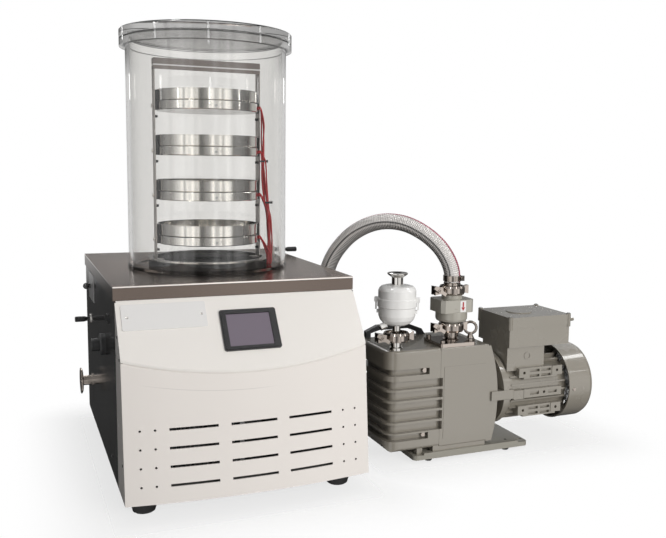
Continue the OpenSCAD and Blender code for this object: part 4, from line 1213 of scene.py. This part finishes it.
@dataclass
class ArrowLabel:
    """A white sticker with a red arrow that points down, on the dust trap's head.

    The layers' depths are y from the label's middle; the shaft's and the head's heights are z from it.
    """

    kit: Kit
    middle: tuple = (457.9, 6.35, 308.6)
    size: tuple = (13.0, 22.5)
    paper_y: tuple = (-0.25, 0.1)
    shaft_y: tuple = (-0.45, -0.2)
    shaft_half: float = 1.5
    shaft_foot: float = -1.0
    margin: float = 2.5
    head_y: float = -0.33
    head_z: float = -4.0
    head_radius: float = 4.8
    head_depth: float = 0.25

    def build(self) -> None:
        """Makes the sticker and the arrow."""
        half, tall = (s / 2 for s in self.size)
        self.layer("arrow_label", half, self.paper_y, (-tall, tall), "badge")
        heights = (self.shaft_foot, tall - self.margin)
        self.layer("arrow_shaft", self.shaft_half, self.shaft_y, heights, "red_wire")
        x, y, z = self.middle
        spot = Matrix.Translation(Frame.point(x, y + self.head_y, z + self.head_z))
        radius = self.head_radius * MM
        mesh = bmesh.new()
        bmesh.ops.create_cone(
            mesh,
            cap_ends=True,
            segments=3,
            radius1=radius,
            radius2=radius,
            depth=self.head_depth * MM,
            matrix=spot @ Matrix.Rotation(math.radians(-90), 4, "X"),
        )
        self.kit.place(to_object("arrow_head", mesh), "red_wire")

    def layer(self, name: str, half: float, depths: tuple, heights: tuple, material: str) -> None:
        """A flat upright rectangle of the label.

        Args:
            name: the piece's name.
            half: half its width.
            depths: y of its front and its back.
            heights: z of its foot and its top.
            material: a key of the finishes.
        """
        x, y, z = self.middle
        low = (x - half, y + depths[0], z + heights[0])
        high = (x + half, y + depths[1], z + heights[1])
        self.kit.place(block(name, low, high), material)


@dataclass
class PumpTrim:
    """Small things on the pump: the fan cowl's screw, and the screws in the terminal box's lid lugs.

    A pair gives the sunk end of a screw and its outer one: y for the cowl's, z from the lugs' top for
    the lid's.
    """

    kit: Kit
    cowl_x: float = 723.0
    cowl_y: tuple = (-12.5, -16.2)
    cowl_z: float = 119.0
    cowl_radii: tuple = (3.6, 3.0)
    lug_top: float = 280.5
    lid_z: tuple = (-0.2, 1.4)
    lid_radii: tuple = (3.2, 3.0)
    lugs: tuple = ((569.0, 4.0), (713.0, 4.0), (569.0, 120.0), (713.0, 120.0))

    def build(self) -> None:
        """Makes the screws."""
        ends = ((self.cowl_x, y, self.cowl_z) for y in self.cowl_y)
        self.kit.place(rod("cowl_screw", *ends, self.cowl_radii), "steel_dark", "steel_bright")
        for i, (x, y) in enumerate(self.lugs):
            ends = ((x, y, self.lug_top + z) for z in self.lid_z)
            self.kit.place(rod(f"lid_screw_{i}", *ends, self.lid_radii), "machined_steel")


# ------------------------------------------------------------------ stage


@dataclass(frozen=True)
class Softbox:
    """An area light, with its place, its aim and its size in metres of the row frame."""

    name: str
    place: tuple
    aim: tuple
    size: tuple
    watts: float
    colour: tuple = (1.0, 1.0, 1.0)

    def build(self) -> None:
        """Adds the light, which no mirror or clear piece shows."""
        data = bpy.data.lights.new(self.name, "AREA")
        data.shape = "RECTANGLE"
        data.size, data.size_y = self.size
        data.energy = self.watts
        data.color = self.colour
        light = bpy.data.objects.new(self.name, data)
        light.location = self.place
        light.visible_transmission = False
        light.visible_glossy = False
        way = Vector(self.aim) - Vector(self.place)
        light.rotation_euler = way.to_track_quat("-Z", "Y").to_euler()
        bpy.context.scene.collection.objects.link(light)


@dataclass(frozen=True)
class Directions:
    """Sockets that say where a ray of the world goes.

    Aim is its direction, height the sine of its height, right the cosine of its way to the viewer's
    right, and angle its angle in radians round the machine: 0 back to the viewer, growing to the right.
    """

    aim: Socket
    height: Socket
    right: Socket
    angle: Socket

    @classmethod
    def of(cls, g: Graph, heading: float) -> "Directions":
        """Makes the sockets.

        Args:
            g: the world's graph.
            heading: the view's direction in degrees.

        Returns:
            The sockets.
        """
        turn = math.radians(heading)
        aim = g.add("TexCoord").outputs["Generated"]
        back = g.vector("DOT_PRODUCT", aim, (-math.sin(turn), -math.cos(turn), 0))
        right = g.vector("DOT_PRODUCT", aim, (math.cos(turn), -math.sin(turn), 0))
        return cls(aim, g.split(aim)["Z"], right, g.calc("ARCTAN2", right, back))


@dataclass(frozen=True)
class Ceiling:
    """A ceiling with rows of strip lamps that run away from the viewer.

    Lengths are shares of the ceiling's height over the machine, and heights of directions are sines.
    row and strip are half the distances between lamps across and along, wide and lit how far a lamp
    reaches in them, and shift moves all rows across.
    """

    grey: float = 0.62
    lamp: float = 9.0
    shift: float = 0.35
    row: float = 0.55
    wide: float = 0.05
    strip: float = 0.6
    lit: float = 0.45
    lowest: float = 0.05
    lowest_lamp: float = 0.4

    def level(self, g: Graph, to: Directions, heading: float) -> Socket:
        """How bright the ceiling is.

        Args:
            g: the world's graph.
            to: where the ray goes.
            heading: the view's direction in degrees.

        Returns:
            The level's socket.
        """
        turned = g.add("VectorRotate", rotation_type="Z_AXIS", Vector=to.aim, Angle=math.radians(heading))
        spot = g.split(turned.outputs["Vector"])
        up = g.calc("MAXIMUM", to.height, self.lowest)
        across, along = (g.calc("DIVIDE", spot[axis], up) for axis in "XY")
        row = g.calc("PINGPONG", g.calc("ADD", across, self.shift), self.row)
        strip = g.calc("PINGPONG", along, self.strip)
        wide, lit = g.calc("LESS_THAN", row, self.wide), g.calc("LESS_THAN", strip, self.lit)
        high = g.calc("GREATER_THAN", to.height, self.lowest_lamp)
        lamp = g.calc("MULTIPLY", g.calc("MULTIPLY", wide, lit), high)
        return g.choose(lamp, self.grey, self.lamp)


@dataclass(frozen=True)
class Glints:
    """Thin slanted lamps, broken into dashes, that draw the short highlights on the clear chamber.

    A lamp is where the sine of slant times height plus rate times angle lies past edge, and dashed
    likewise by height. All stand at one height, and fade out between the two distances from it in
    reach.
    """

    lamp: float = 5.0
    slant: float = 3.2
    rate: float = 5.0
    edge: tuple = (0.988, 0.996)
    dash_rate: float = 95.0
    dash_edge: tuple = (0.1, 0.3)
    height: float = 0.11
    reach: tuple = (0.08, 0.07)

    def mask(self, g: Graph, to: Directions) -> Socket:
        """Where the lamps are.

        Args:
            g: the world's graph.
            to: where the ray goes.

        Returns:
            The mask's socket.
        """
        phase = g.calc("MULTIPLY_ADD", to.height, self.slant, g.calc("MULTIPLY", to.angle, self.rate))
        narrow = g.span(g.calc("SINE", phase), self.edge)
        dashes = g.span(g.calc("SINE", g.calc("MULTIPLY", to.height, self.dash_rate)), self.dash_edge)
        off = g.calc("ABSOLUTE", g.calc("ADD", to.height, -self.height))
        return g.calc("MULTIPLY", g.calc("MULTIPLY", narrow, dashes), g.span(off, self.reach))


@dataclass(frozen=True)
class Beyond:
    """What stands behind the machine: a light wall at eye level over a dark floor, with soft borders."""

    wall: float = 0.62
    floor: float = 0.05
    angles: tuple = (math.radians(118), math.radians(135))
    floor_edge: tuple = (-0.11, -0.15)
    wall_edge: tuple = (0.09, 0.12)

    def level(self, g: Graph, to: Directions, room: Socket) -> Socket:
        """How bright the room is with what stands behind the machine.

        Args:
            g: the world's graph.
            to: where the ray goes.
            room: socket with the level of the rest.

        Returns:
            The level's socket.
        """
        back = g.span(g.calc("ABSOLUTE", to.angle), self.angles)
        wall = g.choose(g.span(to.height, self.wall_edge), self.wall, room)
        behind = g.choose(g.span(to.height, self.floor_edge), wall, self.floor)
        return g.choose(back, room, behind)


@dataclass(frozen=True)
class Room:
    """What lies round the machine: white to the eye, a room in reflections, soft light otherwise.

    Walls are (angle, grey) round a ring, with angles in degrees as Directions has them; they turn into
    the ceiling between the two heights of eaves. Ambient is the soft light's level at the two ends of
    its span from left to right. A mirrored ray sees the room paler, as inner_share and inner_glow have
    it, where the clear surfaces it has passed number between the two of inner_depths.
    """

    heading: float = Camera.yaw
    walls: tuple = (
        (-180, 0.22), (-167, 0.20), (-158, 0.05), (-128, 0.06), (-98, 0.22), (-72, 0.48), (-56, 1.00),
        (-48, 1.55), (-43, 0.38), (-37, 1.45), (-29, 1.05), (-24, 1.70), (-17, 0.85), (-11, 1.15),
        (-7, 0.18), (0, 0.20), (6, 0.38), (16, 0.55), (22, 1.75), (28, 0.60), (35, 0.85), (40, 1.65),
        (45, 0.52), (52, 1.55), (62, 1.20), (70, 0.22), (100, 0.14), (145, 0.16), (152, 0.36),
        (169, 0.36), (173, 0.10), (180, 0.22),
    )
    eaves: tuple = (0.2, 0.55)
    ambient: tuple = (0.04, 0.60)
    ambient_span: tuple = (-0.9, 0.5)
    inner_depths: tuple = (1.5, 3.5)
    inner_share: float = 0.55
    inner_glow: float = 0.42

    def build(self) -> None:
        """Makes the world."""
        world = bpy.data.worlds.new("room")
        bpy.context.scene.world = world
        world.use_nodes = True
        g = Graph(world.node_tree)
        to = Directions.of(g, self.heading)
        soft = g.span(to.right, self.ambient_span, self.ambient)
        path = g.add("LightPath").outputs
        mirrored = g.calc("MAXIMUM", path["Is Glossy Ray"], path["Is Transmission Ray"])
        level = g.choose(g.looked_through(), g.choose(mirrored, soft, self.mirrored(g, to)), 1.0)
        white = (1.0, 1.0, 1.0, 1.0)
        g.put(world.node_tree.nodes["Background"], {"Color": white, "Strength": level})

    def mirrored(self, g: Graph, to: Directions) -> Socket:
        """How bright the room is that reflections show.

        Args:
            g: the world's graph.
            to: where the ray goes.

        Returns:
            The level's socket.
        """
        ring = g.span(to.angle, (-math.pi, math.pi))
        walls = g.ramp(ring, tuple(((angle + 180) / 360, grey) for angle, grey in self.walls))
        upward = g.span(to.height, self.eaves, kind="SMOOTHSTEP")
        room = g.choose(upward, walls, Ceiling().level(g, to, self.heading))
        room = Beyond().level(g, to, room)
        glints = Glints()
        bright = g.choose(glints.mask(g, to), room, glints.lamp)
        inside = g.within(g.add("LightPath").outputs["Transmission Depth"], *self.inner_depths)
        pale = g.calc("MULTIPLY_ADD", room, self.inner_share, self.inner_glow)
        return g.choose(inside, bright, pale)


@dataclass
class Studio:
    """Pale floor that fades into the white surround, and soft lights.

    Footprints are (x, y) corners of what stands on the floor. From them the floor fades over the two
    distances of fade, in metres, and is as clear as pallor where it starts. Its greys are for the soft
    light and for what mirrors it.
    """

    lights: tuple = (
        Softbox("key", (1.1, -3.2, 1.1), (0, 0, 0.3), (1.8, 1.4), 68.0, (1.0, 0.985, 0.955)),
        Softbox("top", (0.3, 0.1, 2.9), (0, 0, 0.3), (2.2, 1.0), 2.0),
        Softbox("fill", (-1.5, -2.6, 1.4), (0, 0, 0.4), (1.2, 1.2), 2.5, (1.0, 0.98, 0.95)),
    )
    footprints: tuple = (((-216, -108), (216, 515)), ((290, -10), (775, 142)))
    floor_size: float = 30.0
    fade: tuple = (-0.02, 0.17)
    pallor: float = 0.72
    greys: tuple = (0.40, 0.16)
    rough: float = 0.8
    specular: float = 0.1

    def build(self) -> None:
        """Makes the floor, the world and the lights."""
        mesh = bmesh.new()
        bmesh.ops.create_grid(mesh, x_segments=1, y_segments=1, size=self.floor_size)
        floor = to_object("floor", mesh)
        floor.data.materials.append(self.floor_finish())
        Room().build()
        for light in self.lights:
            light.build()

    def floor_finish(self) -> bpy.types.Material:
        """A floor that is white to the eye, takes the shadow, gives little light back and fades away.

        Returns:
            The material.
        """
        material = new_material("floor")
        g, shader = parts_of(material)
        eye = g.looked_through()
        mirrored = g.add("LightPath").outputs["Is Glossy Ray"]
        tone = g.choose(eye, g.choose(mirrored, *self.greys), 1.0)
        values = {"Roughness": self.rough, "Specular IOR Level": self.specular}
        g.put(shader, {"Base Color": tone, **values})
        faint = g.span(self.clearance(g), self.fade, (self.pallor, 1.0), "SMOOTHSTEP")
        gone = g.calc("MULTIPLY", faint, g.calc("MAXIMUM", eye, mirrored))
        clear = g.add("BsdfTransparent")
        mix = g.add("MixShader", i0=gone, i1=shader.outputs[0], i2=clear.outputs[0])
        g.put(material.node_tree.nodes["Material Output"], {"Surface": mix.outputs[0]})
        return material

    def clearance(self, g: Graph) -> Socket:
        """How far a point of the floor is from the nearest footprint.

        Args:
            g: the floor's graph.

        Returns:
            The socket of the distance in metres.
        """
        spot = g.here()
        aways = []
        for low, high in self.footprints:
            a, b = Frame.point(*low, 0), Frame.point(*high, 0)
            off = g.vector("ABSOLUTE", g.vector("SUBTRACT", spot, (a + b) / 2))
            off = g.vector("MAXIMUM", g.vector("SUBTRACT", off, (b - a) / 2), (0, 0, 0))
            aways.append(g.vector("LENGTH", off))
        return g.calc("MINIMUM", *aways)


@dataclass(frozen=True)
class Softening:
    """How wide the bevel on a CAD node's edges is, and the nodes that have none."""

    usual: float = 0.5
    widths: dict = field(
        default_factory=lambda: {
            "top_plate": 1.2,
            "oil_case": 1.6,
            "terminal_box": 1.6,
            "motor_body": 0.8,
            "inlet_trap": 1.2,
            "pump_base": 1.0,
        }
    )
    plain: frozenset = frozenset({"vacuum_hose", "wire_harness", "evaporator_coil"})


def dress_cad(materials: dict, softening: Softening) -> None:
    """Gives every CAD node its finish and softened edges, and reports it.

    Args:
        materials: key of the finishes to material.
        softening: the bevels' widths.
    """
    slots = {s["node"]: s["material_slot"] for s in frame["record"]["subparts"]} | OTHER_FINISHES
    for name, node in frame["nodes"].items():
        node.data.materials.clear()
        node.data.materials.append(materials[slots[name]])
        if name not in softening.plain:
            soften(node, softening.widths.get(name, softening.usual))
        log.info("dressed %s in %s", name, slots[name])


def write_sizes() -> None:
    """Brings the view layer up to date."""
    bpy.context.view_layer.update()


def main() -> None:
    """Builds the scene."""
    logging.basicConfig(level=logging.INFO)
    Camera().build()
    shared = Shared.build()
    materials = {key: finish.build(shared) for key, finish in FINISHES.items()}
    kit = Kit(materials)
    for assembly in (Hose, ShelfWires, RackTrim, ConsoleTrim, ArrowLabel, PumpTrim):
        assembly(kit).build()
    dress_cad(materials, Softening())
    Studio().build()
    bpy.context.scene.view_settings.view_transform = "Standard"
    write_sizes()


if __name__ == "__main__":
    main()
